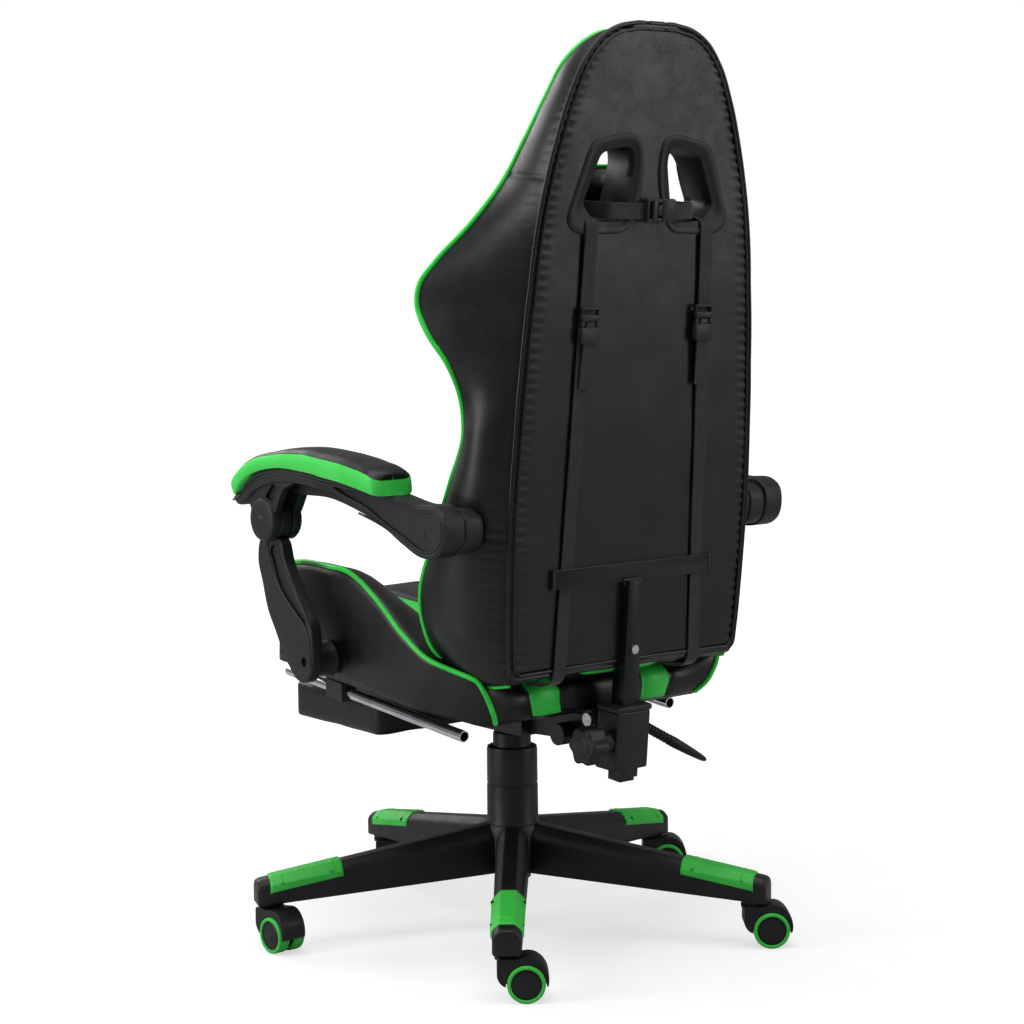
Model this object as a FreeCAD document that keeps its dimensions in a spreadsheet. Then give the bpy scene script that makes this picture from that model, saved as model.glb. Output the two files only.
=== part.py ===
"""Gaming chair with a five-star base, gas lift, reclining back, linked armrests and slide-out footrest.

Units are millimetres and degrees.  +Z is up, the floor is z = 0, the gas lift stands on the Z axis,
the sitter faces -Y, and the sitter's left hand is on the +X side.
"""
import FreeCAD, Part, Sketcher
import math
import os

os.makedirs("parts", exist_ok=True)

doc = FreeCAD.newDocument("gaming_chair")
sheet = doc.addObject("Spreadsheet::Sheet", "Sizes")
parts = []
SIDES = ((1, "left"), (-1, "right"))


class Size:
    """A number together with the spreadsheet expression that works it out."""

    def __init__(self, value, text):
        self.value = float(value)
        self.text = text

    def __add__(self, other):
        other = as_size(other)
        return Size(self.value + other.value, f"({self.text} + {other.text})")

    def __sub__(self, other):
        other = as_size(other)
        return Size(self.value - other.value, f"({self.text} - {other.text})")

    def __mul__(self, other):
        other = as_size(other)
        return Size(self.value * other.value, f"{self.text} * {other.text}")

    def __truediv__(self, other):
        other = as_size(other)
        return Size(self.value / other.value, f"{self.text} / {other.text}")

    def __neg__(self):
        return Size(-self.value, f"(0 - {self.text})")

    def __radd__(self, other):
        return as_size(other) + self

    def __rsub__(self, other):
        return as_size(other) - self

    def __rmul__(self, other):
        return as_size(other) * self

    def __float__(self):
        return self.value


def as_size(item):
    """Let plain numbers take part in sums with sheet sizes."""
    if isinstance(item, Size):
        return item
    return Size(item, f"({float(item):.4f})")


def cells(**values):
    """Write values into the sheet, one aliased row each, and hand them back as sizes."""
    made = []
    for alias, value in values.items():
        row = cells.row
        sheet.set(f"A{row}", alias.replace("_", " "))
        sheet.set(f"B{row}", str(value))
        sheet.setAlias(f"B{row}", alias)
        made.append(Size(value, f"Sizes.{alias}"))
        cells.row = row + 1
    return made


cells.row = 1

# ---- driving dimensions -------------------------------------------------------------------------

caster_count, caster_circle, spoke_start, leg_tip_radius, socket_height = cells(
    caster_count=5, caster_circle=350, spoke_start=50.4, leg_tip_radius=372, socket_height=63.4)
hub_radius, hub_bottom, hub_top, leg_root_top, leg_tip_top = cells(
    hub_radius=40, hub_bottom=83, hub_top=150, leg_root_top=153, leg_tip_top=97.5)
leg_root_width, leg_tip_width, leg_ridge_width, cap_start, cap_end, cap_skin = cells(
    leg_root_width=46, leg_tip_width=38, leg_ridge_width=20, cap_start=250, cap_end=355, cap_skin=2.2)
wheel_radius, wheel_width, tyre_depth, caster_trail, axle_radius, stem_radius = cells(
    wheel_radius=25, wheel_width=17.5, tyre_depth=4.8, caster_trail=24, axle_radius=3, stem_radius=5.5)
neck_radius, hood_width, hood_wall, running_gap = cells(
    neck_radius=18, hood_width=44, hood_wall=3, running_gap=0.05)
tube_radius, tube_top, rod_radius, rod_top, lower_cover_radius, lower_cover_top = cells(
    tube_radius=25, tube_top=245, rod_radius=14, rod_top=318, lower_cover_radius=36, lower_cover_top=262)
upper_cover_radius, upper_cover_top, upper_cover_bottom = cells(
    upper_cover_radius=27, upper_cover_top=282, upper_cover_bottom=165)
recline_y, recline_z, back_y, back_z, back_lean = cells(
    recline_y=205, recline_z=331, back_y=247, back_z=409, back_lean=4.76)
seat_half, seat_slope, pan_zero, pan_thick, side_half = cells(
    seat_half=175, seat_slope=0.0875, pan_zero=353.7, pan_thick=14, side_half=250)
rail_x, rail_radius, rail_slope, rail_rear_y, rail_rear_z, rail_front_y = cells(
    rail_x=183, rail_radius=8, rail_slope=0.0836, rail_rear_y=131, rail_rear_z=317, rail_front_y=-291)
footpad_half, footpad_top, footpad_bottom, footpad_front, footpad_rear = cells(
    footpad_half=164, footpad_top=335, footpad_bottom=282, footpad_front=-304, footpad_rear=-93)
arm_pivot_y, arm_pivot_z, knuckle_y, knuckle_z, link_pivot_y, link_pivot_z = cells(
    arm_pivot_y=205, arm_pivot_z=600, knuckle_y=-149, knuckle_z=595, link_pivot_y=-89, link_pivot_z=402)
arm_inner, arm_outer, arm_front_outer, knuckle_radius, lug_thick, knuckle_outer, knuckle_inner = cells(
    arm_inner=262, arm_outer=294, arm_front_outer=317, knuckle_radius=30, lug_thick=14,
    knuckle_outer=317, knuckle_inner=268)
armpad_inner, armpad_outer, link_inner, link_outer, eye_radius, eye_bore, pin_radius = cells(
    armpad_inner=255, armpad_outer=322, link_inner=284, link_outer=302, eye_radius=29, eye_bore=10,
    pin_radius=5)
post_width, post_inset, bar_half, bar_bottom, bar_top, bar_proud, bar_depth = cells(
    post_width=25, post_inset=10.5, bar_half=139, bar_bottom=113.4, bar_top=139.5, bar_proud=3, bar_depth=25)
core_thick, pad_front, bezel_proud, bezel_front, strap_width, strap_thick = cells(
    core_thick=45, pad_front=80, bezel_proud=3, bezel_front=62, strap_width=25, strap_thick=2)
boot_half, boot_bottom, boot_top, boot_rear, boot_front, pivot_bolt_radius = cells(
    boot_half=29, boot_bottom=-144.5, boot_top=-52, boot_rear=23, boot_front=20, pivot_bolt_radius=6)
ear_inner, ear_outer, knob_radius, knob_inner, knob_outer, knob_y, knob_z = cells(
    ear_inner=22, ear_outer=28, knob_radius=25, knob_inner=44, knob_outer=75, knob_y=244, knob_z=306)
lever_swing_x, lever_z, lever_rod_radius, lever_heading = cells(
    lever_swing_x=48, lever_z=328.6, lever_rod_radius=4, lever_heading=169)
doc.recompute()


# ---- drawing helpers ----------------------------------------------------------------------------

def bind(item, prop, size):
    """Tie one property of a document object to the sheet."""
    item.setExpression(prop, as_size(size).text)


def new_body(label):
    return doc.addObject("PartDesign::Body", label)


def add_sketch(body, role, offset=0, name="outline"):
    """A sketch on one of the body's own origin planes, moved along that plane's normal."""
    sketch = body.newObject("Sketcher::SketchObject", name)
    plane = [item for item in body.Origin.OriginFeatures if item.Role == role][0]
    sketch.AttachmentSupport = (plane, "")
    sketch.MapMode = "FlatFace"
    offset = as_size(offset)
    sketch.AttachmentOffset = FreeCAD.Placement(FreeCAD.Vector(0, 0, offset.value), FreeCAD.Rotation())
    sketch.setExpression("AttachmentOffset.Base.z", offset.text)
    return sketch


def tie(sketch, kind, *where, size):
    """Add a dimension to a sketch and tie it to the sheet."""
    size = as_size(size)
    index = sketch.addConstraint(Sketcher.Constraint(kind, *where, size.value))
    sketch.setExpression(f"Constraints[{index}]", size.text)


def draw_polygon(sketch, points):
    """A closed outline of straight lines whose corners are placed from the sketch's origin."""
    sizes = [(as_size(across), as_size(along)) for across, along in points]
    corners = [FreeCAD.Vector(across.value, along.value, 0) for across, along in sizes]
    first = sketch.GeometryCount
    for index, corner in enumerate(corners):
        following = corners[(index + 1) % len(corners)]
        sketch.addGeometry(Part.LineSegment(corner, following), False)
    for index, (across, along) in enumerate(sizes):
        line = first + index
        after = first + (index + 1) % len(corners)
        sketch.addConstraint(Sketcher.Constraint("Coincident", line, 2, after, 1))
        tie(sketch, "DistanceX", -1, 1, line, 1, size=across)
        tie(sketch, "DistanceY", -1, 1, line, 1, size=along)


def draw_circle(sketch, across, along, radius):
    across = as_size(across)
    along = as_size(along)
    radius = as_size(radius)
    middle = FreeCAD.Vector(across.value, along.value, 0)
    circle = sketch.addGeometry(Part.Circle(middle, FreeCAD.Vector(0, 0, 1), radius.value), False)
    tie(sketch, "Radius", circle, size=radius)
    tie(sketch, "DistanceX", -1, 1, circle, 3, size=across)
    tie(sketch, "DistanceY", -1, 1, circle, 3, size=along)


def pad(body, sketch, length, name="pad"):
    feature = body.newObject("PartDesign::Pad", name)
    feature.Profile = sketch
    feature.Length = as_size(length).value
    bind(feature, "Length", length)
    sketch.Visibility = False
    return feature


def pocket(body, sketch, length, name="pocket"):
    """Cut along the sketch's normal, and stop if the cut took nothing away."""
    doc.recompute()
    before = body.Shape.Volume
    feature = body.newObject("PartDesign::Pocket", name)
    feature.Profile = sketch
    feature.Length = as_size(length).value
    feature.Reversed = True
    bind(feature, "Length", length)
    doc.recompute()
    if body.Shape.Volume >= before - 1:
        raise RuntimeError(f"{body.Name}: {name} cuts nothing")
    return feature


def slab(body, role, points, start, length):
    """Pad a polygon from start, measured along the plane's normal."""
    sketch = add_sketch(body, role, start)
    draw_polygon(sketch, points)
    return pad(body, sketch, length)


def boss(body, role, across, along, radius, start, length):
    """Pad a round boss."""
    sketch = add_sketch(body, role, start)
    draw_circle(sketch, across, along, radius)
    return pad(body, sketch, length)


def bore(body, role, across, along, radius, start, length):
    """Cut a round hole."""
    sketch = add_sketch(body, role, start)
    draw_circle(sketch, across, along, radius)
    return pocket(body, sketch, length)


def turned(label, points):
    """A body turned about its Z axis from a half section given as (radius, height)."""
    body = new_body(label)
    sketch = add_sketch(body, "XZ_Plane")
    draw_polygon(sketch, points)
    feature = body.newObject("PartDesign::Revolution", "turning")
    feature.Profile = sketch
    feature.ReferenceAxis = (sketch, ["V_Axis"])
    feature.Angle = 360
    return body


def finish(item, label):
    """Name a sub-part and put it on the export list."""
    item.Label = label
    parts.append(item)
    return item


def place(item, base=(0, 0, 0), axis=(0, 0, 1), angle=0):
    spot = FreeCAD.Vector(*[float(as_size(value)) for value in base])
    item.Placement = FreeCAD.Placement(spot, FreeCAD.Rotation(FreeCAD.Vector(*axis), float(angle)))
    return item


def in_back_frame(body):
    """Stand a body in the back's own frame: origin at the panel's foot, tilted back with the panel."""
    return place(body, (0, back_y, back_z), (1, 0, 0), -back_lean.value)


def mirrored(points):
    """Close a half outline given on the +X side with its mirror image."""
    return points + [(-across, along) for across, along in reversed(points)]


def side_start(side, inner, outer):
    """Where a slab between inner and outer starts along +X, on the left (+1) or the right (-1)."""
    return inner if side > 0 else -outer


def group(label, items):
    """Several loose solids of one kind that share a node."""
    doc.recompute()
    compound = doc.addObject("Part::Compound", label)
    compound.Links = items
    return finish(compound, label)


def round_edges(body, feature, radius, edges):
    doc.recompute()
    fillet = body.newObject("PartDesign::Fillet", "fillet")
    fillet.Base = (feature, edges(feature.Shape))
    fillet.Radius = as_size(radius).value
    bind(fillet, "Radius", radius)
    return fillet


def rim_edges(axis_index):
    """Pick the edges that lie square to one axis, which are the rims of a slab's two flat faces."""
    def pick(shape):
        chosen = []
        for number, edge in enumerate(shape.Edges, 1):
            box = edge.BoundBox
            spans = (box.XLength, box.YLength, box.ZLength)
            if spans[axis_index] < 0.01:
                chosen.append(f"Edge{number}")
        return chosen
    return pick





# ---- five-star base -----------------------------------------------------------------------------

LEG_ROOT = 28


def leg_height(distance, root, tip):
    """Height of the leg's ridge or belly at a distance from the hub's axis."""
    return root + (tip - root) * ((distance - LEG_ROOT) / (leg_tip_radius.value - LEG_ROOT))


def leg_section(width, bottom, top, ridge, bevel):
    """Six corners of a leg's section: flat ridge, bevelled shoulders and upright sides."""
    half = width / 2
    return [(-half, bottom), (half, bottom), (half, top - bevel),
            (ridge / 2, top), (-ridge / 2, top), (-half, top - bevel)]


def make_star_base():
    body = new_body("star_base")
    sketch = add_sketch(body, "XZ_Plane", name="hub_section")
    draw_polygon(sketch, [(tube_radius, hub_bottom), (hub_radius, hub_bottom), (hub_radius, hub_top - 4),
                          (hub_radius - 4, hub_top), (tube_radius, hub_top)])
    hub = body.newObject("PartDesign::Revolution", "hub")
    hub.Profile = sketch
    hub.ReferenceAxis = (sketch, ["V_Axis"])
    hub.Angle = 360
    root = add_sketch(body, "YZ_Plane", LEG_ROOT, "leg_root")
    draw_polygon(root, leg_section(leg_root_width, hub_bottom, leg_root_top, leg_ridge_width, 20))
    tip = add_sketch(body, "YZ_Plane", leg_tip_radius, "leg_tip")
    draw_polygon(tip, leg_section(leg_tip_width, socket_height, leg_tip_top, leg_ridge_width, 10))
    leg = body.newObject("PartDesign::AdditiveLoft", "leg")
    leg.Profile = root
    leg.Sections = [tip]
    leg.Ruled = True
    doc.recompute()
    before = body.Shape.Volume
    hole = add_sketch(body, "XY_Plane", socket_height - 5, "stem_hole")
    draw_circle(hole, caster_circle, 0, stem_radius + running_gap)
    socket = body.newObject("PartDesign::Pocket", "stem_socket")
    socket.Profile = hole
    socket.Reversed = True
    socket.Length = 34
    doc.recompute()
    if body.Shape.Volume >= before:
        raise RuntimeError("stem socket cuts nothing")
    star = body.newObject("PartDesign::PolarPattern", "five_legs")
    star.Originals = [leg, socket]
    star.Axis = (sketch, ["V_Axis"])
    star.Angle = 360
    star.Occurrences = int(caster_count.value)
    bind(star, "Occurrences", caster_count)
    body.Tip = star
    place(body, angle=spoke_start)
    return finish(body, "star_base")


def spoke_angles():
    return [spoke_start.value + 360 / caster_count.value * number for number in range(int(caster_count.value))]


def section_wire(distance, grow):
    """A leg section at a distance from the axis, grown outwards by a skin."""
    share = (distance - LEG_ROOT) / (leg_tip_radius.value - LEG_ROOT)
    width = float(leg_root_width + (leg_tip_width - leg_root_width) * share) + 2 * grow
    top = leg_height(distance, leg_root_top.value, leg_tip_top.value) + grow
    bevel = 20 - 10 * share
    belly = top - bevel - 9
    corners = leg_section(width, belly, top, leg_ridge_width.value + grow, bevel)
    points = [FreeCAD.Vector(distance, across, along) for across, along in corners]
    return Part.makePolygon(points + points[:1])


def make_leg_caps():
    """Green caps: a thin skin wrapped over each leg's ridge and shoulders."""
    start = cap_start.value
    end = cap_end.value
    outer = Part.makeLoft([section_wire(start, cap_skin.value), section_wire(end, cap_skin.value)], True, True)
    leg = Part.makeLoft([section_wire(start - 5, 0), section_wire(end + 5, 0)], True, True)
    below = Part.makeBox(end - start + 20, 80, 60, FreeCAD.Vector(start - 10, -40, 0))
    below.translate(FreeCAD.Vector(0, 0, leg_height(end, leg_root_top.value, leg_tip_top.value) - 22 - 60))
    cap = outer.cut(leg).cut(below)
    caps = []
    for angle in spoke_angles():
        copy = cap.copy()
        copy.rotate(FreeCAD.Vector(0, 0, 0), FreeCAD.Vector(0, 0, 1), angle)
        caps.append(copy)
    feature = doc.addObject("Part::Feature", "leg_caps")
    feature.Shape = Part.makeCompound(caps)
    return finish(feature, "leg_caps")


make_star_base()
make_leg_caps()


# ---- gas lift and its telescopic covers ---------------------------------------------------------

CYLINDER_FLOOR = 75
COVER_WALL = 3
cover_foot = hub_top + 3

finish(turned("gas_cylinder", [
    (0, CYLINDER_FLOOR - 3), (tube_radius, CYLINDER_FLOOR - 3), (tube_radius, tube_top),
    (rod_radius + running_gap, tube_top), (rod_radius + running_gap, CYLINDER_FLOOR + 6),
    (0, CYLINDER_FLOOR + 6)]), "gas_cylinder")

finish(turned("lower_cover", [
    (lower_cover_radius - COVER_WALL, cover_foot), (lower_cover_radius + 1.5, cover_foot),
    (lower_cover_radius + 1.5, cover_foot + 6), (lower_cover_radius, cover_foot + 14),
    (lower_cover_radius, lower_cover_top), (upper_cover_radius + 1, lower_cover_top),
    (upper_cover_radius + 1, lower_cover_top - 4),
    (lower_cover_radius - COVER_WALL, lower_cover_top - 4)]), "lower_cover")

finish(turned("gas_piston", [
    (0, 90), (rod_radius, 90), (rod_radius, rod_top - 6), (rod_radius - 1, rod_top),
    (4.2, rod_top), (4.2, rod_top - 12), (0, rod_top - 12)]), "gas_piston")

finish(turned("gas_button", [
    (0, rod_top - 7), (4, rod_top - 7), (4, rod_top + 6), (0, rod_top + 6)]), "gas_button")

finish(turned("upper_cover", [
    (upper_cover_radius - 1.6, upper_cover_bottom), (upper_cover_radius, upper_cover_bottom),
    (upper_cover_radius, upper_cover_top), (rod_radius, upper_cover_top),
    (rod_radius, upper_cover_top - 2), (upper_cover_radius - 1.6, upper_cover_top - 2)]), "upper_cover")


# ---- casters ------------------------------------------------------------------------------------

CASTER_HEADINGS = (141.9, 141.9, 141.9, 141.9, 92.0)
WEB_HALF = 3.2
WHEEL_GAP = 0.5


def caster_frame(number):
    """Swivel centre on the floor, turned so that local +X is the way the caster trails."""
    angle = math.radians(spoke_angles()[number])
    reach = caster_circle.value
    spot = FreeCAD.Vector(reach * math.cos(angle), reach * math.sin(angle), 0)
    return FreeCAD.Placement(spot, FreeCAD.Rotation(FreeCAD.Vector(0, 0, 1), CASTER_HEADINGS[number]))


def make_caster_hood(number):
    """Fender over both wheels, the web that carries the axle between them, and the swivel neck."""
    body = new_body(f"caster_hood_{number + 1}")
    rise = wheel_radius
    fender_radius = wheel_radius + 1.3 + hood_wall
    boss(body, "XZ_Plane", caster_trail, rise, fender_radius, -hood_width / 2, hood_width)
    inner = add_sketch(body, "XZ_Plane", -hood_width / 2)
    draw_circle(inner, caster_trail, rise, wheel_radius + 1.3)
    pocket(body, inner, hood_width)
    lower = add_sketch(body, "XZ_Plane", -hood_width / 2)
    draw_polygon(lower, [(-30, -20), (80, -20), (80, rise + 2), (-30, rise - 4)])
    pocket(body, lower, hood_width)
    web = add_sketch(body, "XZ_Plane", -WEB_HALF)
    draw_polygon(web, [(-6, rise - 4), (8, rise - 12), (30, rise - 12), (caster_trail + 20, rise + 4),
                       (caster_trail + 20, rise + 20), (caster_trail, rise + 28), (-2, rise + 28)])
    pad(body, web, 2 * WEB_HALF)
    boss(body, "XY_Plane", 0, 0, neck_radius, socket_height - 11.5, 11)
    bore(body, "XZ_Plane", caster_trail, rise, axle_radius, -WEB_HALF - 1, 2 * WEB_HALF + 2)
    bore(body, "XY_Plane", 0, 0, stem_radius, socket_height - 9, 20)
    body.Placement = caster_frame(number)
    return finish(body, f"caster_hood_{number + 1}")


def make_caster_pins(number):
    stem = turned(f"stem_{number + 1}", [
        (0, socket_height - 9), (stem_radius, socket_height - 9), (stem_radius, socket_height + 27),
        (stem_radius - 1, socket_height + 28), (0, socket_height + 28)])
    stem.Placement = caster_frame(number)
    axle = new_body(f"axle_{number + 1}")
    half = wheel_width + WEB_HALF - 2
    boss(axle, "XZ_Plane", caster_trail, wheel_radius, axle_radius, -half, half * 2)
    axle.Placement = caster_frame(number)
    return group(f"caster_pins_{number + 1}", [stem, axle])


def make_caster_wheel(number, side, letter):
    """A black disc with a coloured tread ring pressed on it."""
    inner = WEB_HALF + WHEEL_GAP
    core_radius = wheel_radius - tyre_depth
    start = side_start(side, inner, inner + wheel_width)
    disc = new_body(f"disc_{number + 1}{letter}")
    boss(disc, "XZ_Plane", caster_trail, wheel_radius, core_radius, start, wheel_width)
    bore(disc, "XZ_Plane", caster_trail, wheel_radius, axle_radius + running_gap,
         side_start(side, inner - 1, inner + wheel_width - 1), wheel_width)
    tread = new_body(f"tread_{number + 1}{letter}")
    boss(tread, "XZ_Plane", caster_trail, wheel_radius, wheel_radius, start, wheel_width - 0.5)
    bore(tread, "XZ_Plane", caster_trail, wheel_radius, core_radius, start - 1, wheel_width + 1.5)
    disc.Placement = caster_frame(number)
    tread.Placement = caster_frame(number)
    return group(f"caster_wheel_{number + 1}{letter}", [disc, tread])


for caster in range(int(caster_count.value)):
    make_caster_hood(caster)
    make_caster_pins(caster)
    make_caster_wheel(caster, 1, "a")
    make_caster_wheel(caster, -1, "b")


# ---- seat mechanism -----------------------------------------------------------------------------

def seat_base(distance):
    """Height of the seat's underside at a distance behind the lift's axis."""
    return pan_zero - seat_slope * distance


SEAT_TILT = math.degrees(math.atan(seat_slope.value))


def make_mechanism():
    """Cast housing on the lift with two ears that carry the back's pivot."""
    body = new_body("mechanism")
    plate_drop = 4
    slab(body, "YZ_Plane", [(-75, 302), (-40, 290), (75, 290), (75, seat_base(75) - plate_drop),
                            (-75, seat_base(-75) - plate_drop)], -42, 84)
    for side in (1, -1):
        start = side_start(side, ear_inner, ear_outer)
        width = ear_outer - ear_inner
        slab(body, "YZ_Plane", [(60, 292), (130, 296), (recline_y, recline_z - 13),
                                (recline_y, recline_z + 13), (185, 335), (110, seat_base(110) - plate_drop),
                                (60, seat_base(60) - plate_drop)], start, width)
        boss(body, "YZ_Plane", recline_y, recline_z, 13, start, width)
    boss(body, "YZ_Plane", 162, 307, 15, ear_outer, 22)
    bore(body, "YZ_Plane", recline_y, recline_z, pivot_bolt_radius, -40, 80)
    bore(body, "XY_Plane", 0, 0, rod_radius + running_gap, 280, 38)
    slot = add_sketch(body, "XY_Plane", rod_top - 2)
    draw_polygon(slot, [(13, -11), (-60, -2), (-60, 26), (13, 11)])
    pocket(body, slot, 24)
    return finish(body, "mechanism")


def make_mechanism_plate():
    body = new_body("mechanism_plate")
    slab(body, "YZ_Plane", [(-110, seat_base(-110) - 4), (110, seat_base(110) - 4),
                            (110, seat_base(110)), (-110, seat_base(-110))], -90, 180)
    return finish(body, "mechanism_plate")


def cylinder_along_x(label, start, length, along_y, along_z, radius):
    body = new_body(label)
    boss(body, "YZ_Plane", along_y, along_z, radius, start, length)
    return body


def make_seat_bolts():
    """Four plate screws under the pan and the two bolts that the armrest links turn on."""
    bolts = []
    for across in (-78, 78):
        for distance in (-98, 98):
            screw = doc.addObject("Part::Cylinder", "plate_screw")
            screw.Radius = 6
            screw.Height = 4
            place(screw, (across, distance, seat_base(distance) - 8.1), (1, 0, 0), -SEAT_TILT)
            bolts.append(screw)
    for side, name in SIDES:
        start = side_start(side, side_half + 2, link_outer - 3)
        bolts.append(cylinder_along_x(f"link_bolt_{name}", start, link_outer - side_half - 5,
                                      link_pivot_y, link_pivot_z, pivot_bolt_radius))
    return group("seat_bolts", bolts)


def make_recline_pin():
    body = new_body("recline_pin")
    boss(body, "YZ_Plane", recline_y, recline_z, pivot_bolt_radius - running_gap, -33, 66)
    for start in (28, -33):
        boss(body, "YZ_Plane", recline_y, recline_z, 9, start, 5)
    return finish(body, "recline_pin")


make_mechanism()
make_mechanism_plate()
make_seat_bolts()
make_recline_pin()


# ---- seat ---------------------------------------------------------------------------------------

def make_seat_pan():
    body = new_body("seat_pan")
    slab(body, "YZ_Plane", [(-225, seat_base(-225)), (180, seat_base(180)),
                            (180, seat_base(180) + pan_thick), (-225, seat_base(-225) + pan_thick)],
         -seat_half, seat_half * 2)
    return finish(body, "seat_pan")


def make_seat_cushion():
    body = new_body("seat_cushion")
    block = slab(body, "YZ_Plane", [
        (-240, seat_base(-240) + pan_thick), (202, seat_base(202) + pan_thick), (200, 386),
        (160, 388), (158, 418), (140, 429), (40, 450), (-150, 466), (-225, 464), (-258, 445), (-264, 410)],
        -seat_half, seat_half * 2)
    round_edges(body, block, 8, rim_edges(0))
    return finish(body, "seat_cushion")


SIDE_PROFILE = [(-240, 388), (-262, 407), (-266, 436), (-262, 460), (-240, 493), (-200, 520), (-155, 530),
                (-44, 525), (19, 495), (82, 452), (140, 412), (165, 396), (205, 385), (205, 347), (180, 341),
                (-180, 374)]


def make_seat_bolsters():
    """The two raised sides, narrower towards the rear."""
    pair = []
    gap = 0.3
    for side, name in SIDES:
        body = new_body(f"seat_bolster_{name}")
        block = slab(body, "YZ_Plane", SIDE_PROFILE, side_start(side, seat_half + gap, side_half),
                     side_half - seat_half - gap)
        taper = add_sketch(body, "XY_Plane", 330)
        draw_polygon(taper, [(side * (side_half + 2), -60), (side * (side_half + 2), 212),
                             (side * 211, 212)])
        pocket(body, taper, 220)
        pair.append(body)
    return group("seat_bolsters", pair)


def rail_height(distance):
    """Height of the footrest rails' centre line."""
    return rail_rear_z - rail_slope * (distance - rail_rear_y)


def make_rail_guides():
    """Blocks under the seat that the footrest rails slide in."""
    guides = []
    for side, name in SIDES:
        body = new_body(f"rail_guide_{name}")
        start = side_start(side, rail_x - 13, rail_x + 13)
        slab(body, "YZ_Plane", [(-178, rail_height(-178) - 12), (-138, rail_height(-138) - 12),
                                (-138, rail_height(-138) + 14), (-178, rail_height(-178) + 14)], start, 26)
        slab(body, "YZ_Plane", [(-174, rail_height(-178) + 12), (-142, rail_height(-178) + 12),
                                (-142, seat_base(-142)), (-174, seat_base(-174))],
             side_start(side, rail_x - 13, seat_half - 1), seat_half - rail_x + 12)
        hole = doc.addObject("Part::Cylinder", f"guide_hole_{name}")
        hole.Height = 80
        bind(hole, "Radius", rail_radius + 2 * running_gap)
        lean = math.degrees(math.atan(rail_slope.value))
        place(hole, (side * rail_x.value, -118, rail_height(-118)), (1, 0, 0), 90 - lean)
        drilled = doc.addObject("Part::Cut", f"drilled_guide_{name}")
        drilled.Base = body
        drilled.Tool = hole
        guides.append(drilled)
    return group("rail_guides", guides)


def make_link_brackets():
    """Round bosses on the seat's sides that hold the armrest links."""
    bosses = []
    for side, name in SIDES:
        body = new_body(f"link_boss_{name}")
        start = side_start(side, side_half + 0.3, link_inner - 0.3)
        width = link_inner - side_half - 0.6
        boss(body, "YZ_Plane", link_pivot_y, link_pivot_z, 22, start, width)
        bore(body, "YZ_Plane", link_pivot_y, link_pivot_z, pivot_bolt_radius,
             side_start(side, side_half + 2, link_outer), width + 20)
        bosses.append(body)
    return group("link_brackets", bosses)


make_seat_pan()
make_seat_cushion()
make_seat_bolsters()
make_rail_guides()
make_link_brackets()


# ---- height lever -------------------------------------------------------------------------------

LEVER_BEND = (225, 263)
GRIP_START = (245, 250)
GRIP_END = (322, 205)


def bar_between(start, end, thick_start, thick_end):
    """Four corners of a bar between two points of the lever's own upright plane."""
    run = (end[0] - start[0], end[1] - start[1])
    length = math.hypot(*run)
    normal = (-run[1] / length, run[0] / length)
    corners = []
    for point, thick, way in ((start, thick_start, -1), (end, thick_end, -1), (end, thick_end, 1),
                              (start, thick_start, 1)):
        corners.append((point[0] + way * normal[0] * thick / 2, point[1] + way * normal[1] * thick / 2))
    return corners


def make_lever():
    """Flat steel lever whose inner end lies over the gas button."""
    body = new_body("height_lever")
    thick = lever_rod_radius.value * 2
    swing = (lever_swing_x.value, lever_z.value)
    slab(body, "XZ_Plane", bar_between((-6, lever_z.value), swing, thick, thick), -4, 8)
    slab(body, "XZ_Plane", bar_between((swing[0] - 2, swing[1] + 0.5), LEVER_BEND, thick, thick), -4, 8)
    slab(body, "XZ_Plane", bar_between((LEVER_BEND[0] - 3, LEVER_BEND[1] + 1), GRIP_START, thick, thick), -4, 8)
    boss(body, "XZ_Plane", lever_swing_x, lever_z, 6, -4, 8)
    place(body, angle=lever_heading)
    return finish(body, "height_lever")


def make_lever_grip():
    body = new_body("lever_grip")
    slab(body, "XZ_Plane", bar_between((GRIP_START[0] + 2, GRIP_START[1] - 1.4), GRIP_END, 13, 7), -9, 18)
    place(body, angle=lever_heading)
    return finish(body, "lever_grip")


make_lever()
make_lever_grip()


# ---- footrest -----------------------------------------------------------------------------------

def make_footrest_rails():
    """Two chrome tubes joined by a cross tube at the front, which the pad is hinged on."""
    lean = math.degrees(math.atan(rail_slope.value))
    tubes = []
    length = (rail_rear_y.value - rail_front_y.value) / math.cos(math.radians(lean))
    for side, name in SIDES:
        outer = doc.addObject("Part::Cylinder", f"rail_{name}")
        outer.Height = length
        bind(outer, "Radius", rail_radius)
        inner = doc.addObject("Part::Cylinder", f"rail_bore_{name}")
        inner.Height = length - 20
        bind(inner, "Radius", rail_radius - 1.5)
        for tube in (outer, inner):
            place(tube, (side * rail_x.value, rail_rear_y.value, rail_rear_z.value), (1, 0, 0), 90 - lean)
        hollow = doc.addObject("Part::Cut", f"hollow_rail_{name}")
        hollow.Base = outer
        hollow.Tool = inner
        tubes.append(hollow)
    cross = doc.addObject("Part::Cylinder", "cross_tube")
    bind(cross, "Radius", rail_radius)
    bind(cross, "Height", rail_x * 2)
    place(cross, (-rail_x, rail_front_y, rail_height(rail_front_y)), (0, 1, 0), 90)
    frame = doc.addObject("Part::MultiFuse", "footrest_rails")
    frame.Shapes = tubes + [cross]
    return finish(frame, "footrest_rails")


def make_footrest_pad():
    body = new_body("footrest_pad")
    block = slab(body, "YZ_Plane", [
        (footpad_front, footpad_bottom + 4), (footpad_front, footpad_top), (footpad_rear, footpad_top - 3),
        (footpad_rear, footpad_bottom)], -footpad_half, footpad_half * 2)
    round_edges(body, block, 10, rim_edges(0))
    return finish(body, "footrest_pad")


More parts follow.
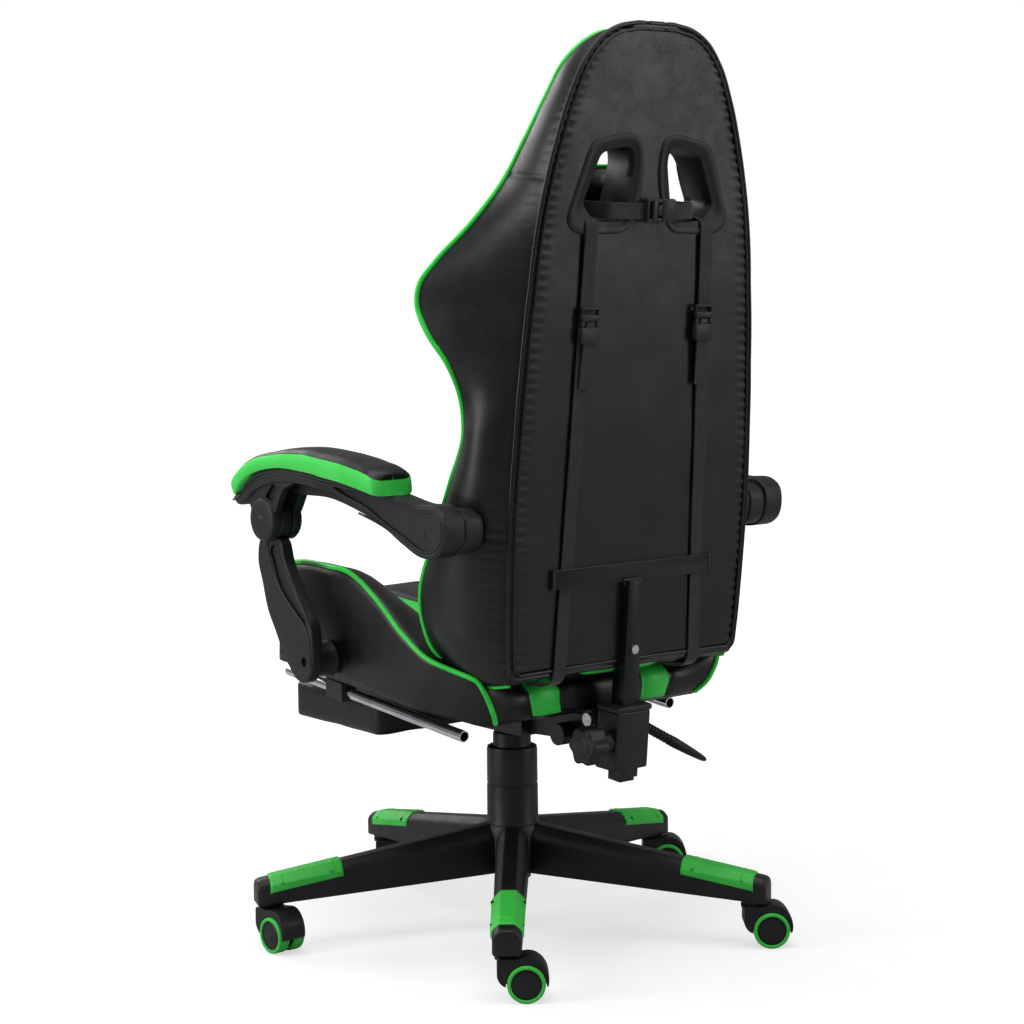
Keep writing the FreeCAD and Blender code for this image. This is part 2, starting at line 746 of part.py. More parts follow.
def make_footrest_hinges():
    """Two plates on the pad's back that turn on the cross tube."""
    plates = []
    axis_z = rail_height(rail_front_y)
    for side, name in SIDES:
        body = new_body(f"footrest_hinge_{name}")
        start = side_start(side, 110, 122)
        slab(body, "YZ_Plane", [(-303, footpad_top), (-250, footpad_top - 0.7), (-250, footpad_top + 3),
                                (rail_front_y + 11, axis_z), (-303, axis_z)], start, 12)
        boss(body, "YZ_Plane", rail_front_y, axis_z, 12, start, 12)
        bore(body, "YZ_Plane", rail_front_y, axis_z, rail_radius + running_gap, start - 1, 14)
        plates.append(body)
    return group("footrest_hinges", plates)


make_footrest_rails()
make_footrest_pad()
make_footrest_hinges()


# ---- back: frame, boot and knob -----------------------------------------------------------------

LEAN = math.radians(back_lean.value)


def to_back(distance, height):
    """Chair side-view point (Y, Z) seen in the back's own frame."""
    run = distance - back_y.value
    rise = height - back_z.value
    return (run * math.cos(LEAN) - rise * math.sin(LEAN), run * math.sin(LEAN) + rise * math.cos(LEAN))


def make_back_frame():
    """Square post and cross bar, welded together."""
    body = new_body("back_frame")
    half = post_width / 2
    slab(body, "YZ_Plane", [(-post_inset, boot_bottom - 15), (post_width - post_inset, boot_bottom - 15),
                            (post_width - post_inset, bar_bottom), (-post_inset, bar_bottom)],
         -half, post_width)
    slab(body, "YZ_Plane", [(bar_proud - bar_depth, bar_bottom), (bar_proud, bar_bottom),
                            (bar_proud, bar_top), (bar_proud - bar_depth, bar_top)], -bar_half, bar_half * 2)
    hollow = add_sketch(body, "XY_Plane", boot_bottom - 16)
    inner = half - 2
    draw_polygon(hollow, [(-inner, 2 - post_inset), (inner, 2 - post_inset),
                          (inner, post_width - post_inset - 2), (-inner, post_width - post_inset - 2)])
    pocket(body, hollow, bar_bottom - boot_bottom + 10)
    return finish(in_back_frame(body), "back_frame")


def make_back_boot():
    """Moulded boot clamped round the post, with the tongue that turns on the recline pin."""
    body = new_body("back_boot")
    pivot = to_back(recline_y.value, recline_z.value)
    slab(body, "YZ_Plane", [(-boot_front, boot_bottom), (boot_rear, boot_bottom), (boot_rear, boot_top),
                            (-boot_front, boot_top)], -boot_half, boot_half * 2)
    slab(body, "YZ_Plane", [(-boot_front, boot_top - 4), (boot_rear + 2, boot_top - 4),
                            (boot_rear + 2, boot_top), (-boot_front, boot_top)],
         -boot_half - 3, boot_half * 2 + 6)
    slab(body, "YZ_Plane", [(pivot[0], pivot[1] - 13), (-boot_front + 1, pivot[1] - 13),
                            (-boot_front + 1, pivot[1] + 13), (pivot[0], pivot[1] + 13)], -21.5, 43)
    boss(body, "YZ_Plane", pivot[0], pivot[1], 13, -21.5, 43)
    bore(body, "YZ_Plane", pivot[0], pivot[1], pivot_bolt_radius, -30, 60)
    knob_spot = to_back(knob_y.value, knob_z.value)
    boss(body, "YZ_Plane", knob_spot[0], knob_spot[1], 11, boot_half, knob_inner - boot_half - 0.3)
    bore(body, "YZ_Plane", knob_spot[0], knob_spot[1], 4 + running_gap, boot_half - 12, 40)
    channel = add_sketch(body, "XY_Plane", boot_bottom - 5)
    half = post_width / 2
    draw_polygon(channel, [(-half, -post_inset), (half, -post_inset), (half, post_width - post_inset),
                           (-half, post_width - post_inset)])
    pocket(body, channel, boot_top - boot_bottom + 10)
    return finish(in_back_frame(body), "back_boot")


def make_clamp_knob():
    """Four-lobed knob on a threaded stud."""
    body = new_body("clamp_knob")
    boss(body, "YZ_Plane", knob_y, knob_z, knob_radius - 4, knob_inner, knob_outer - knob_inner)
    for quarter in range(4):
        angle = math.radians(45 + 90 * quarter)
        reach = 15
        boss(body, "YZ_Plane", knob_y + reach * math.cos(angle), knob_z + reach * math.sin(angle), 12,
             knob_inner, knob_outer - knob_inner - 3)
    boss(body, "YZ_Plane", knob_y, knob_z, 4, boot_half - 10, knob_inner - boot_half + 12)
    return finish(body, "clamp_knob")


make_back_frame()
make_back_boot()
make_clamp_knob()


# ---- back: upholstery ---------------------------------------------------------------------------

PANEL_HALF_OUTLINE = [(188, 0), (197, 12), (204, 170), (200, 335), (192, 450), (186, 535), (172, 612),
                      (160, 667), (133, 758), (110, 800), (89, 824), (55, 838)]
BEZEL_OUTLINE = [(38, 699), (20, 690), (14, 650), (22, 600), (38, 571), (109, 569), (126, 577), (131, 590),
                 (102, 678), (92, 688)]
OPENING_OUTLINE = [(84, 672), (50, 680), (33, 680), (28, 662), (36, 612), (41, 591), (49, 586), (92, 586),
                   (112, 607)]
WING_STATIONS = [(2, 196, 80), (22, 226, 123), (54, 238, 144), (94, 238, 150), (150, 233, 128),
                 (230, 228, 107), (322, 222, 79), (367, 228, 83), (409, 248, 86), (444, 264, 109),
                 (483, 270, 128), (508, 270, 125), (537, 250, 117), (583, 210, 101), (633, 168, 90),
                 (690, 150, 75)]
WING_INNER = 140


def on_side(side, points):
    return [(side * across, along) for across, along in points]


def cut_from_rear(body, points, depth):
    """Pocket a shape into the back panel from just behind its rear face."""
    sketch = add_sketch(body, "XZ_Plane", -1)
    draw_polygon(sketch, points)
    return pocket(body, sketch, depth + 1)


def make_back_core():
    """Padded panel with a channel for the frame and the two head openings."""
    body = new_body("back_core")
    gap = 0.3
    slab(body, "XZ_Plane", mirrored(PANEL_HALF_OUTLINE), 0, core_thick)
    for side, name in SIDES:
        cut_from_rear(body, on_side(side, BEZEL_OUTLINE), core_thick + 2)
    half = post_width / 2 + gap
    cut_from_rear(body, [(-half, -5), (half, -5), (half, bar_bottom), (-half, bar_bottom)], post_inset + gap)
    reach = bar_half + gap
    cut_from_rear(body, [(-reach, bar_bottom - gap), (reach, bar_bottom - gap), (reach, bar_top + gap),
                         (-reach, bar_top + gap)], bar_depth - bar_proud + gap)
    return finish(in_back_frame(body), "back_core")


def make_back_pad():
    body = new_body("back_pad")
    half = WING_INNER - 0.3
    slab(body, "XZ_Plane", [(-half, 4), (half, 4), (half, 555), (-half, 555)], core_thick,
         pad_front - core_thick)
    return finish(in_back_frame(body), "back_pad")


def make_back_wings():
    """Side bolsters lofted through one section per station, given as (height, outer half, front)."""
    pair = []
    for side, name in SIDES:
        body = new_body(f"back_wing_{name}")
        sections = []
        for height, outer, front in WING_STATIONS:
            sketch = add_sketch(body, "XY_Plane", height, "station")
            draw_polygon(sketch, [(side * WING_INNER, -core_thick), (side * outer, -core_thick),
                                  (side * outer, -front), (side * WING_INNER, -front)])
            sections.append(sketch)
        loft = body.newObject("PartDesign::AdditiveLoft", "wing")
        loft.Profile = sections[0]
        loft.Sections = sections[1:]
        loft.Ruled = True
        pair.append(in_back_frame(body))
    return group("back_wings", pair)


def make_head_bezels():
    pair = []
    for side, name in SIDES:
        body = new_body(f"head_bezel_{name}")
        slab(body, "XZ_Plane", on_side(side, BEZEL_OUTLINE), -bezel_proud, bezel_proud + bezel_front)
        hole = add_sketch(body, "XZ_Plane", -bezel_proud - 1)
        draw_polygon(hole, on_side(side, OPENING_OUTLINE))
        pocket(body, hole, bezel_proud + bezel_front + 2)
        pair.append(in_back_frame(body))
    return group("head_bezels", pair)


def make_pillow(label, half, bottom, top, rear, front):
    body = new_body(label)
    block = slab(body, "XZ_Plane", [(-half, bottom), (half, bottom), (half, top), (-half, top)], rear,
                 front - rear)
    round_edges(body, block, 20, rim_edges(1))
    return finish(in_back_frame(body), label)


STRAP_REAR = 3.4
STRAP_TOP_X = 92
STRAP_FOOT_X = 118
STRAP_FOLD = 600
STRAP_FOOT = -8
PILLOW_REAR = 86


def strap_run(body, across_low, across_high, low, high, rear, front):
    """One straight run of webbing, from rear to front behind and through the back."""
    half = strap_width / 2
    slab(body, "XZ_Plane", [(across_low - half, low), (across_low + half, low),
                            (across_high + half, high), (across_high - half, high)], -rear, rear - front)


def make_pillow_straps():
    """Webbing: one loop per side round the back, and one across the head openings."""
    webs = []
    thick = strap_thick.value
    face = STRAP_REAR + thick
    inside = -pad_front.value - 0.3
    for side, name in SIDES:
        body = new_body(f"side_strap_{name}")
        strap_run(body, side * STRAP_FOOT_X, side * STRAP_TOP_X, STRAP_FOOT, STRAP_FOLD + thick, face, STRAP_REAR)
        strap_run(body, side * STRAP_TOP_X, side * STRAP_TOP_X, STRAP_FOLD, STRAP_FOLD + thick, face,
                  inside - thick)
        strap_run(body, side * STRAP_FOOT_X, side * STRAP_FOOT_X, STRAP_FOOT, STRAP_FOOT + thick, face,
                  inside - thick)
        strap_run(body, side * STRAP_TOP_X, side * STRAP_TOP_X, 291, STRAP_FOLD + thick, inside, inside - thick)
        strap_run(body, side * STRAP_FOOT_X, side * STRAP_FOOT_X, STRAP_FOOT, 90, inside, inside - thick)
        webs.append(in_back_frame(body))
    head = new_body("head_strap")
    end = 76
    low = 588
    high = low + strap_width.value
    slab(head, "XZ_Plane", [(-end, low), (end, low), (end, high), (-end, high)], -face - 0.2 - thick, thick)
    for side in (1, -1):
        slab(head, "XZ_Plane", on_side(side, [(end - thick, low), (end, low), (end, high), (end - thick, high)]),
             -face - 0.2 - thick, face + 0.2 + thick + PILLOW_REAR - 0.3)
    webs.append(in_back_frame(head))
    return group("pillow_straps", webs)


def make_strap_buckles():
    """Side-release buckles on the three straps."""
    buckles = []
    face = STRAP_REAR + strap_thick.value
    for label, across, height, wide, tall, lift in (
            ("side_buckle_left", 98, 455, 30, 46, 0.2), ("side_buckle_right", -98, 455, 30, 46, 0.2),
            ("head_buckle", -9, 600.5, 46, 30, 0.4 + strap_thick.value)):
        body = new_body(label)
        block = slab(body, "XZ_Plane", [
            (across - wide / 2, height - tall / 2), (across + wide / 2, height - tall / 2),
            (across + wide / 2, height + tall / 2), (across - wide / 2, height + tall / 2)],
            -face - lift - 8, 8)
        round_edges(body, block, 3, rim_edges(1))
        buckles.append(in_back_frame(body))
    return group("strap_buckles", buckles)


def make_arm_spacers():
    """Blocks between the back's sides and the armrests' rear pivots."""
    pair = []
    for side, name in SIDES:
        body = new_body(f"arm_spacer_{name}")
        inner = 236
        start = side_start(side, inner, arm_inner - 0.3)
        slab(body, "YZ_Plane", [(180, 575), (228, 575), (240, 590), (240, 622), (228, 632), (180, 632)], start,
             arm_inner - 0.3 - inner)
        bore(body, "YZ_Plane", arm_pivot_y, arm_pivot_z, pivot_bolt_radius,
             side_start(side, inner - 1, arm_inner + 1), arm_inner - inner + 2)
        pair.append(body)
    return group("arm_spacers", pair)


def make_back_bolts():
    """The two armrest pivot bolts and the screw head in the post's rear face."""
    bolts = []
    for side, name in SIDES:
        start = side_start(side, 238, arm_outer - 6)
        bolts.append(cylinder_along_x(f"arm_bolt_{name}", start, arm_outer - 244, arm_pivot_y, arm_pivot_z,
                                      pivot_bolt_radius))
    screw = doc.addObject("Part::Cylinder", "post_screw")
    screw.Radius = 6
    screw.Height = 4
    rear = post_width.value - post_inset.value
    spot = FreeCAD.Vector(0, rear * math.cos(LEAN) + 23 * math.sin(LEAN) + back_y.value,
                          -rear * math.sin(LEAN) + 23 * math.cos(LEAN) + back_z.value)
    screw.Placement = FreeCAD.Placement(spot, FreeCAD.Rotation(FreeCAD.Vector(1, 0, 0),
                                                               -90 - back_lean.value))
    bolts.append(screw)
    return group("back_bolts", bolts)


make_back_core()
make_back_pad()
make_back_wings()
make_head_bezels()
make_pillow("headrest_pillow", 125, 548, 668, PILLOW_REAR, 146)
make_pillow("lumbar_pillow", WING_INNER - 0.4, 91, 290, pad_front + 0.3, 150)
make_pillow_straps()
make_strap_buckles()
make_arm_spacers()
make_back_bolts()


# ---- armrests -----------------------------------------------------------------------------------

ARM_TOP = [(-220, 622), (-202, 629), (-190, 641), (-167, 655), (-137, 664), (-99, 669), (-61, 669), (-24, 667),
           (12, 663), (60, 658), (94, 653), (131, 646)]
ARM_REAR = [(182, 638), (228, 636), (240, 628), (245, 606), (238, 584), (222, 573), (198, 570), (150, 586),
            (108, 601), (66, 615), (34, 623), (-21, 632), (-76, 632), (-188, 632), (-208, 615)]
SHELF_DEPTH = 22
PAD_TOP = [(126, 672), (118, 678), (78, 688), (7, 696), (-69, 698), (-127, 690), (-166, 682), (-196, 668),
           (-221, 649), (-230, 636)]
LINK_OUTLINE = [(-176, 566), (-183, 534), (-174, 507), (-160, 466), (-143, 440), (-126, 414), (-108, 392),
                (-88, 377), (-72, 376), (-58, 386), (-52, 401), (-50, 433), (-55, 457), (-72, 478),
                (-98, 514), (-114, 540), (-124, 566)]


def make_arm(side, name):
    """Moulded arm: side beam, shelf under the pad and two lugs with the knuckle pin."""
    body = new_body(f"arm_{name}")
    slab(body, "YZ_Plane", ARM_TOP + ARM_REAR, side_start(side, arm_inner, arm_outer), arm_outer - arm_inner)
    shelf_floor = [(across, along - SHELF_DEPTH) for across, along in reversed(ARM_TOP[2:-2])]
    slab(body, "YZ_Plane", ARM_TOP[1:-1] + shelf_floor,
         side_start(side, arm_outer - 1, arm_front_outer), arm_front_outer - arm_outer + 1)
    for inner, outer in ((knuckle_inner, knuckle_inner + lug_thick), (knuckle_outer - lug_thick, knuckle_outer)):
        start = side_start(side, inner, outer)
        boss(body, "YZ_Plane", knuckle_y, knuckle_z, knuckle_radius, start, lug_thick)
        slab(body, "YZ_Plane", [(knuckle_y - 28, knuckle_z), (knuckle_y + 28, knuckle_z),
                                (knuckle_y + 28, 645), (knuckle_y - 28, 645)], start, lug_thick)
    boss(body, "YZ_Plane", knuckle_y, knuckle_z, pin_radius,
         side_start(side, knuckle_inner + 2, knuckle_outer - 2), knuckle_outer - knuckle_inner - 4)
    bore(body, "YZ_Plane", arm_pivot_y, arm_pivot_z, pivot_bolt_radius + running_gap,
         side_start(side, arm_inner - 1, arm_outer + 1), arm_outer - arm_inner + 2)
    return finish(body, f"arm_{name}")


def make_arm_pad(side, name):
    body = new_body(f"arm_pad_{name}")
    start = side_start(side, armpad_inner, armpad_outer)
    slab(body, "YZ_Plane", ARM_TOP[1:] + PAD_TOP, start, armpad_outer - armpad_inner)
    return finish(body, f"arm_pad_{name}")


def make_arm_link(side, name):
    """Curved front link: foot on the seat's side, loose eye round the arm's knuckle pin."""
    body = new_body(f"arm_link_{name}")
    start = side_start(side, link_inner, link_outer)
    width = link_outer - link_inner
    slab(body, "YZ_Plane", LINK_OUTLINE, start, width)
    boss(body, "YZ_Plane", knuckle_y, knuckle_z, eye_radius, start, width)
    bore(body, "YZ_Plane", knuckle_y, knuckle_z, eye_bore, start - 1, width + 2)
    bore(body, "YZ_Plane", link_pivot_y, link_pivot_z, pivot_bolt_radius + running_gap, start - 1, width + 2)
    return finish(body, f"arm_link_{name}")


for side, name in SIDES:
    make_arm(side, name)
    make_arm_pad(side, name)
    make_arm_link(side, name)


# ---- checks and export --------------------------------------------------------------------------

doc.recompute()
for item in doc.Objects:
    if "Invalid" in item.State or "Error" in item.State:
        raise RuntimeError(f"{item.Name} failed: {item.State}")
for item in parts:
    if item.Shape.isNull() or not item.Shape.isValid():
        raise RuntimeError(f"{item.Label} has a null or invalid shape")
for item in parts:
    item.Shape.exportStep(f"parts/{item.Label}.step")
print(len(parts), "sub-parts written")
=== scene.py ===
"""Looks of the gaming chair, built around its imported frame.

Shape tables are in millimetres in the chair's own frame: floor at z = 0, gas lift on the Z axis, sitter
facing -Y and the sitter's left hand at +X.  mm() turns them into metres.  Back-frame points are
(across, out, up): out is behind the back panel when positive, and up runs along the leaning panel.
"""
import math

import bmesh
import bpy
import numpy as np
from mathutils import Matrix, Vector, noise


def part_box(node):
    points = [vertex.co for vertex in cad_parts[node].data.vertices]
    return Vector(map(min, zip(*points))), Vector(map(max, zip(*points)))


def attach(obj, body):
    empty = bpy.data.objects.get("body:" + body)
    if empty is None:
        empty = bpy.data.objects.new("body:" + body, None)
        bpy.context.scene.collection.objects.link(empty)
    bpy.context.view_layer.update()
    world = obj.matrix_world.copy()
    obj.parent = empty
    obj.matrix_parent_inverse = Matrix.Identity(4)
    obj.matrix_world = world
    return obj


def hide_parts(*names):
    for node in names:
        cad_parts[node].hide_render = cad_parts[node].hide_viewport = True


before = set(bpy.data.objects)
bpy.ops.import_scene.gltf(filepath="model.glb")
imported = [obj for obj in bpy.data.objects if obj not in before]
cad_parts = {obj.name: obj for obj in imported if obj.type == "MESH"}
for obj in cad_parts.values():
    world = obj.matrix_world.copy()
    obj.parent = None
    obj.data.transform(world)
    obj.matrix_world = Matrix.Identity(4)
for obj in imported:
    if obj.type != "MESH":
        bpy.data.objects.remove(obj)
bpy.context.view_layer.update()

LEAN = math.radians(4.76)
PANEL_FOOT_Y = 247
PANEL_FOOT_Z = 409
SIDES = ((1, "left"), (-1, "right"))


def mm(x, y, z):
    return Vector((x / 1000, y / 1000, z / 1000))


def back_mm(across, out, up):
    """A back-frame point as a place in the chair, in metres."""
    y = PANEL_FOOT_Y + out * math.cos(LEAN) + up * math.sin(LEAN)
    z = PANEL_FOOT_Z - out * math.sin(LEAN) + up * math.cos(LEAN)
    return mm(across, y, z)


# ---- finishes -----------------------------------------------------------------------------------

def linear(hex_colour):
    """sRGB hex to the linear colour that shaders take."""
    parts = [int(hex_colour[i:i + 2], 16) / 255 for i in (1, 3, 5)]
    return [p / 12.92 if p <= 0.04045 else ((p + 0.055) / 1.055) ** 2.4 for p in parts] + [1.0]


def add(tree, kind, links=None, stops=None, **settings):
    """Add one node with its settings, ramp stops and links, and give it back."""
    node = tree.nodes.new(kind)
    for key, value in settings.items():
        if hasattr(node, key):
            setattr(node, key, value)
        else:
            node.inputs[key.replace("_", " ")].default_value = value
    for stop, (position, colour) in zip(node.color_ramp.elements if stops else [], stops or []):
        stop.position = position
        stop.color = colour if len(colour) == 4 else (colour[0], colour[0], colour[0], 1)
    for socket, source in (links or {}).items():
        tree.links.new(source.outputs[0] if hasattr(source, "outputs") else source, node.inputs[socket])
    return node


def skin(name, dark, light, rough, pattern_mm, depth, cells=False, mottle_mm=55, fold=0.0, metallic=0.0,
         stretch=(1, 1, 1), rub=None):
    """One finish: mottled colour, a fine surface pattern in gloss and relief, and soft folds.

    pattern_mm is the spacing of the moulded, embossed or drawn pattern; rough is its (polished, dull)
    roughness; fold is the strength of creases about 30 mm apart; rub is the colour that edges wear to.
    """
    material = bpy.data.materials.new(name)
    material.use_nodes = True
    tree = material.node_tree
    tree.nodes.clear()
    shader = tree.nodes.new("ShaderNodeBsdfPrincipled")
    add(tree, "ShaderNodeOutputMaterial", {"Surface": shader})
    shader.inputs["Metallic"].default_value = metallic
    if not metallic:
        shader.inputs["IOR"].default_value = 1.42
    where = add(tree, "ShaderNodeTexCoord").outputs["Object"]
    drawn = add(tree, "ShaderNodeMapping", {"Vector": where}, Scale=stretch)
    mottle = add(tree, "ShaderNodeTexNoise", {"Vector": where}, Scale=1000 / mottle_mm, Detail=3.0)
    colour = add(tree, "ShaderNodeValToRGB", {"Fac": mottle}, [(0.3, linear(dark)), (0.72, linear(light))])
    if rub:
        edges = add(tree, "ShaderNodeNewGeometry").outputs["Pointiness"]
        worn = add(tree, "ShaderNodeValToRGB", {"Fac": edges}, [(0.52, (0.0,)), (0.62, (0.55,))])
        colour = add(tree, "ShaderNodeMixRGB", {"Fac": worn, "Color1": colour}, Color2=linear(rub))
    tree.links.new(colour.outputs[0], shader.inputs["Base Color"])
    if cells:
        grain = add(tree, "ShaderNodeTexVoronoi", {"Vector": drawn}, feature="SMOOTH_F1",
                    Scale=1000 / pattern_mm)
    else:
        grain = add(tree, "ShaderNodeTexNoise", {"Vector": drawn}, Scale=1000 / pattern_mm, Detail=3.0)
    crease = add(tree, "ShaderNodeTexNoise", {"Vector": where}, Scale=1000 / 30, Detail=2.0, Distortion=0.6)
    patches = add(tree, "ShaderNodeMath", {0: grain, 1: crease}, operation="MULTIPLY")
    gloss = add(tree, "ShaderNodeValToRGB", {"Fac": patches}, [(0.12, (rough[0],)), (0.42, (rough[1],))])
    tree.links.new(gloss.outputs[0], shader.inputs["Roughness"])
    soft = add(tree, "ShaderNodeBump", {"Height": crease}, Strength=fold, Distance=0.0015)
    relief = add(tree, "ShaderNodeBump", {"Height": grain, "Normal": soft}, Strength=depth, Distance=0.0002)
    tree.links.new(relief.outputs[0], shader.inputs["Normal"])
    return material


# PU leather, calendered and embossed with a 1.4 mm pebble grain: broad soft highlights that break up.
BLACK_LEATHER = skin("black_embossed_pu_leather", "#0B0B0C", "#131315", (0.34, 0.5), 1.4, 0.25, cells=True,
                     fold=0.2)
GREEN_LEATHER = skin("green_embossed_pu_leather", "#2FC846", "#3DDA54", (0.38, 0.52), 1.4, 0.2, cells=True,
                     fold=0.12)
ARM_PAD_GREEN = skin("green_soft_pu_pad_band", "#3BD850", "#4CE462", (0.45, 0.58), 1.4, 0.15, cells=True,
                     fold=0.08)
# Thin PU wrapped on a cord: stretched grain, glossier along its crown.
GREEN_PIPING = skin("green_pu_wrapped_cord", "#25D13B", "#34E24A", (0.32, 0.46), 1.0, 0.15, cells=True,
                    mottle_mm=25)
BLACK_PIPING = skin("black_pu_wrapped_cord", "#0E0E0F", "#171719", (0.3, 0.44), 1.0, 0.2, cells=True,
                    mottle_mm=25)
# Nylon with glass fibre, moulded: spark-eroded satin skin, paler where edges are rubbed.
BLACK_NYLON = skin("black_moulded_nylon", "#0D0D0E", "#141416", (0.4, 0.52), 0.8, 0.2, rub="#2C2C2F")
# ABS, moulded with a coarser texture: dull, greyer than the leather.
BLACK_ABS = skin("black_textured_abs", "#131415", "#1B1C1D", (0.44, 0.58), 0.7, 0.3, rub="#333436")
GREEN_ABS = skin("green_moulded_abs", "#2FB63B", "#3CC548", (0.4, 0.54), 0.9, 0.15, rub="#5BD867")
# Steel tube and plate, powder coated: orange peel about 1.6 mm apart.
POWDER_COAT = skin("black_powder_coated_steel", "#0A0A0B", "#111213", (0.3, 0.42), 1.6, 0.2)
# Steel tube, chromed over a drawn surface: near mirror with faint lines along the tube.
CHROME = skin("chromed_drawn_steel_tube", "#B4B7BD", "#E9EAED", (0.08, 0.2), 2.5, 0.05, metallic=1.0,
              stretch=(1, 0.05, 1))
# Steel fasteners, zinc plated: brighter and duller specks about a millimetre apart.
ZINC = skin("zinc_plated_steel_bolt", "#A3A7AD", "#D9DBDE", (0.22, 0.38), 1.1, 0.12, metallic=1.0,
            mottle_mm=4)
# Bonded thread, drawn twice as coarse as real so that the stitches show.
BLACK_THREAD = skin("black_bonded_thread", "#161618", "#2C2C2F", (0.55, 0.75), 0.9, 0.5)


def woven_webbing():
    """Polypropylene webbing: 2.6 mm ribs across and along, twice as coarse as real so that they show."""
    material = skin("black_woven_pp_webbing", "#0C0C0D", "#1A1A1C", (0.6, 0.78), 2.6, 0.3)
    tree = material.node_tree
    shader = next(n for n in tree.nodes if n.type == "BSDF_PRINCIPLED")
    where = next(n for n in tree.nodes if n.type == "TEX_COORD").outputs["Object"]
    ribs = 1000 / 2.6 / (2 * math.pi)
    across = add(tree, "ShaderNodeTexWave", {"Vector": where}, bands_direction="X", Scale=ribs,
                 Distortion=0.3)
    along = add(tree, "ShaderNodeTexWave", {"Vector": where}, bands_direction="Z", Scale=ribs,
                Distortion=0.3)
    weave = add(tree, "ShaderNodeMath", {0: across.outputs["Fac"], 1: along.outputs["Fac"]},
                operation="MULTIPLY")
    relief = add(tree, "ShaderNodeBump", {"Height": weave}, Strength=0.6, Distance=0.0004)
    tree.links.new(relief.outputs[0], shader.inputs["Normal"])
    shader.inputs["Sheen Weight"].default_value = 0.25
    return material


BLACK_WEBBING = woven_webbing()


# ---- making meshes ------------------------------------------------------------------------------

def new_piece(name, mesh, *materials):
    """Put a mesh in the scene as a smooth-shaded piece."""
    piece = bpy.data.objects.new(name, mesh)
    bpy.context.scene.collection.objects.link(piece)
    for material in materials:
        mesh.materials.append(material)
    mesh.polygons.foreach_set("use_smooth", [True] * len(mesh.polygons))
    mesh.update()
    return piece


def from_bmesh(name, bm, *materials, sharp=None):
    bmesh.ops.recalc_face_normals(bm, faces=bm.faces[:])
    mesh = bpy.data.meshes.new(name)
    bm.to_mesh(mesh)
    bm.free()
    piece = new_piece(name, mesh, *materials)
    if sharp:
        mesh.set_sharp_from_angle(angle=math.radians(sharp))
    return piece


def bake(piece):
    """Turn a piece's modifiers into plain mesh."""
    graph = bpy.context.evaluated_depsgraph_get()
    fresh = bpy.data.meshes.new_from_object(piece.evaluated_get(graph))
    old = piece.data
    piece.modifiers.clear()
    piece.data = fresh
    bpy.data.meshes.remove(old)
    return piece


def ease_edges(piece, width, segments=3, angle=35):
    """Round every edge that turns more than the angle."""
    rounder = piece.modifiers.new("eased_edges", "BEVEL")
    rounder.width = width / 1000
    rounder.segments = segments
    rounder.limit_method = "ANGLE"
    rounder.angle_limit = math.radians(angle)
    bake(piece)
    piece.data.set_sharp_from_angle(angle=math.radians(50))
    return piece


def joined(name, items):
    """Make one piece of several, keeping each one's finish."""
    bm = bmesh.new()
    materials = []
    for item in items:
        start = len(bm.faces)
        bm.from_mesh(item.data)
        bm.faces.ensure_lookup_table()
        slots = list(item.data.materials)
        materials += [m for m in slots if m not in materials]
        for face in bm.faces[start:]:
            face.material_index = materials.index(slots[face.material_index])
    for item in items:
        bpy.data.meshes.remove(item.data)
    mesh = bpy.data.meshes.new(name)
    bm.to_mesh(mesh)
    bm.free()
    piece = new_piece(name, mesh, *materials)
    mesh.set_sharp_from_angle(angle=math.radians(50))
    return piece


def moved_copy(piece, name, matrix):
    """A copy of a piece, turned or mirrored in its mesh."""
    mesh = piece.data.copy()
    mesh.transform(matrix)
    if matrix.determinant() < 0:
        mesh.flip_normals()
    copy = bpy.data.objects.new(name, mesh)
    bpy.context.scene.collection.objects.link(copy)
    return copy


MIRROR = Matrix.Diagonal((-1, 1, 1, 1))


def on(piece, body, slot, *nodes):
    """Ride on a body and stand for CAD nodes, which are hidden; slot is not used."""
    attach(piece, body)
    if nodes:
        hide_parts(*nodes)
    return piece


def smooth_rows(table, count):
    """A smooth curve through the rows of a table, as count rows evenly spread by distance."""
    table = np.array(table, float)
    knots = np.concatenate([[0], np.cumsum(np.linalg.norm(np.diff(table, axis=0), axis=1) + 1e-6)])
    slopes = np.gradient(table, knots, axis=0)
    at = np.linspace(0, knots[-1], count)
    index = np.clip(np.searchsorted(knots, at, side="right") - 1, 0, len(knots) - 2)
    width = (knots[index + 1] - knots[index])[:, None]
    s = ((at - knots[index])[:, None]) / width
    return ((2 * s ** 3 - 3 * s ** 2 + 1) * table[index] + (s ** 3 - 2 * s ** 2 + s) * width * slopes[index]
            + (3 * s ** 2 - 2 * s ** 3) * table[index + 1] + (s ** 3 - s ** 2) * width * slopes[index + 1])


def smooth_loop(points, count):
    """A closed smooth outline through points."""
    wrapped = points[-3:] + points + points[:3]
    dense = smooth_rows(wrapped, count * 3)
    reach = np.linalg.norm(np.diff(np.array(wrapped, float), axis=0), axis=1)
    knots = np.concatenate([[0], np.cumsum(reach)])
    along = np.linspace(0, knots[-1], count * 3)
    wanted = np.linspace(knots[3], knots[len(points) + 3], count, endpoint=False)
    return [tuple(np.interp(w, along, dense[:, k]) for k in range(dense.shape[1])) for w in wanted]


def rounded(points, reach, steps=5):
    """An outline with every corner turned into a short curve."""
    result = []
    for index, corner in enumerate(points):
        before, here = Vector(points[index - 1]), Vector(corner)
        after = Vector(points[(index + 1) % len(points)])
        start = here + (before - here).normalized() * min(reach, (before - here).length * 0.48)
        end = here + (after - here).normalized() * min(reach, (after - here).length * 0.48)
        result += [tuple(start.lerp(here, t).lerp(here.lerp(end, t), t)) for t in np.linspace(0, 1, steps)]
    return result


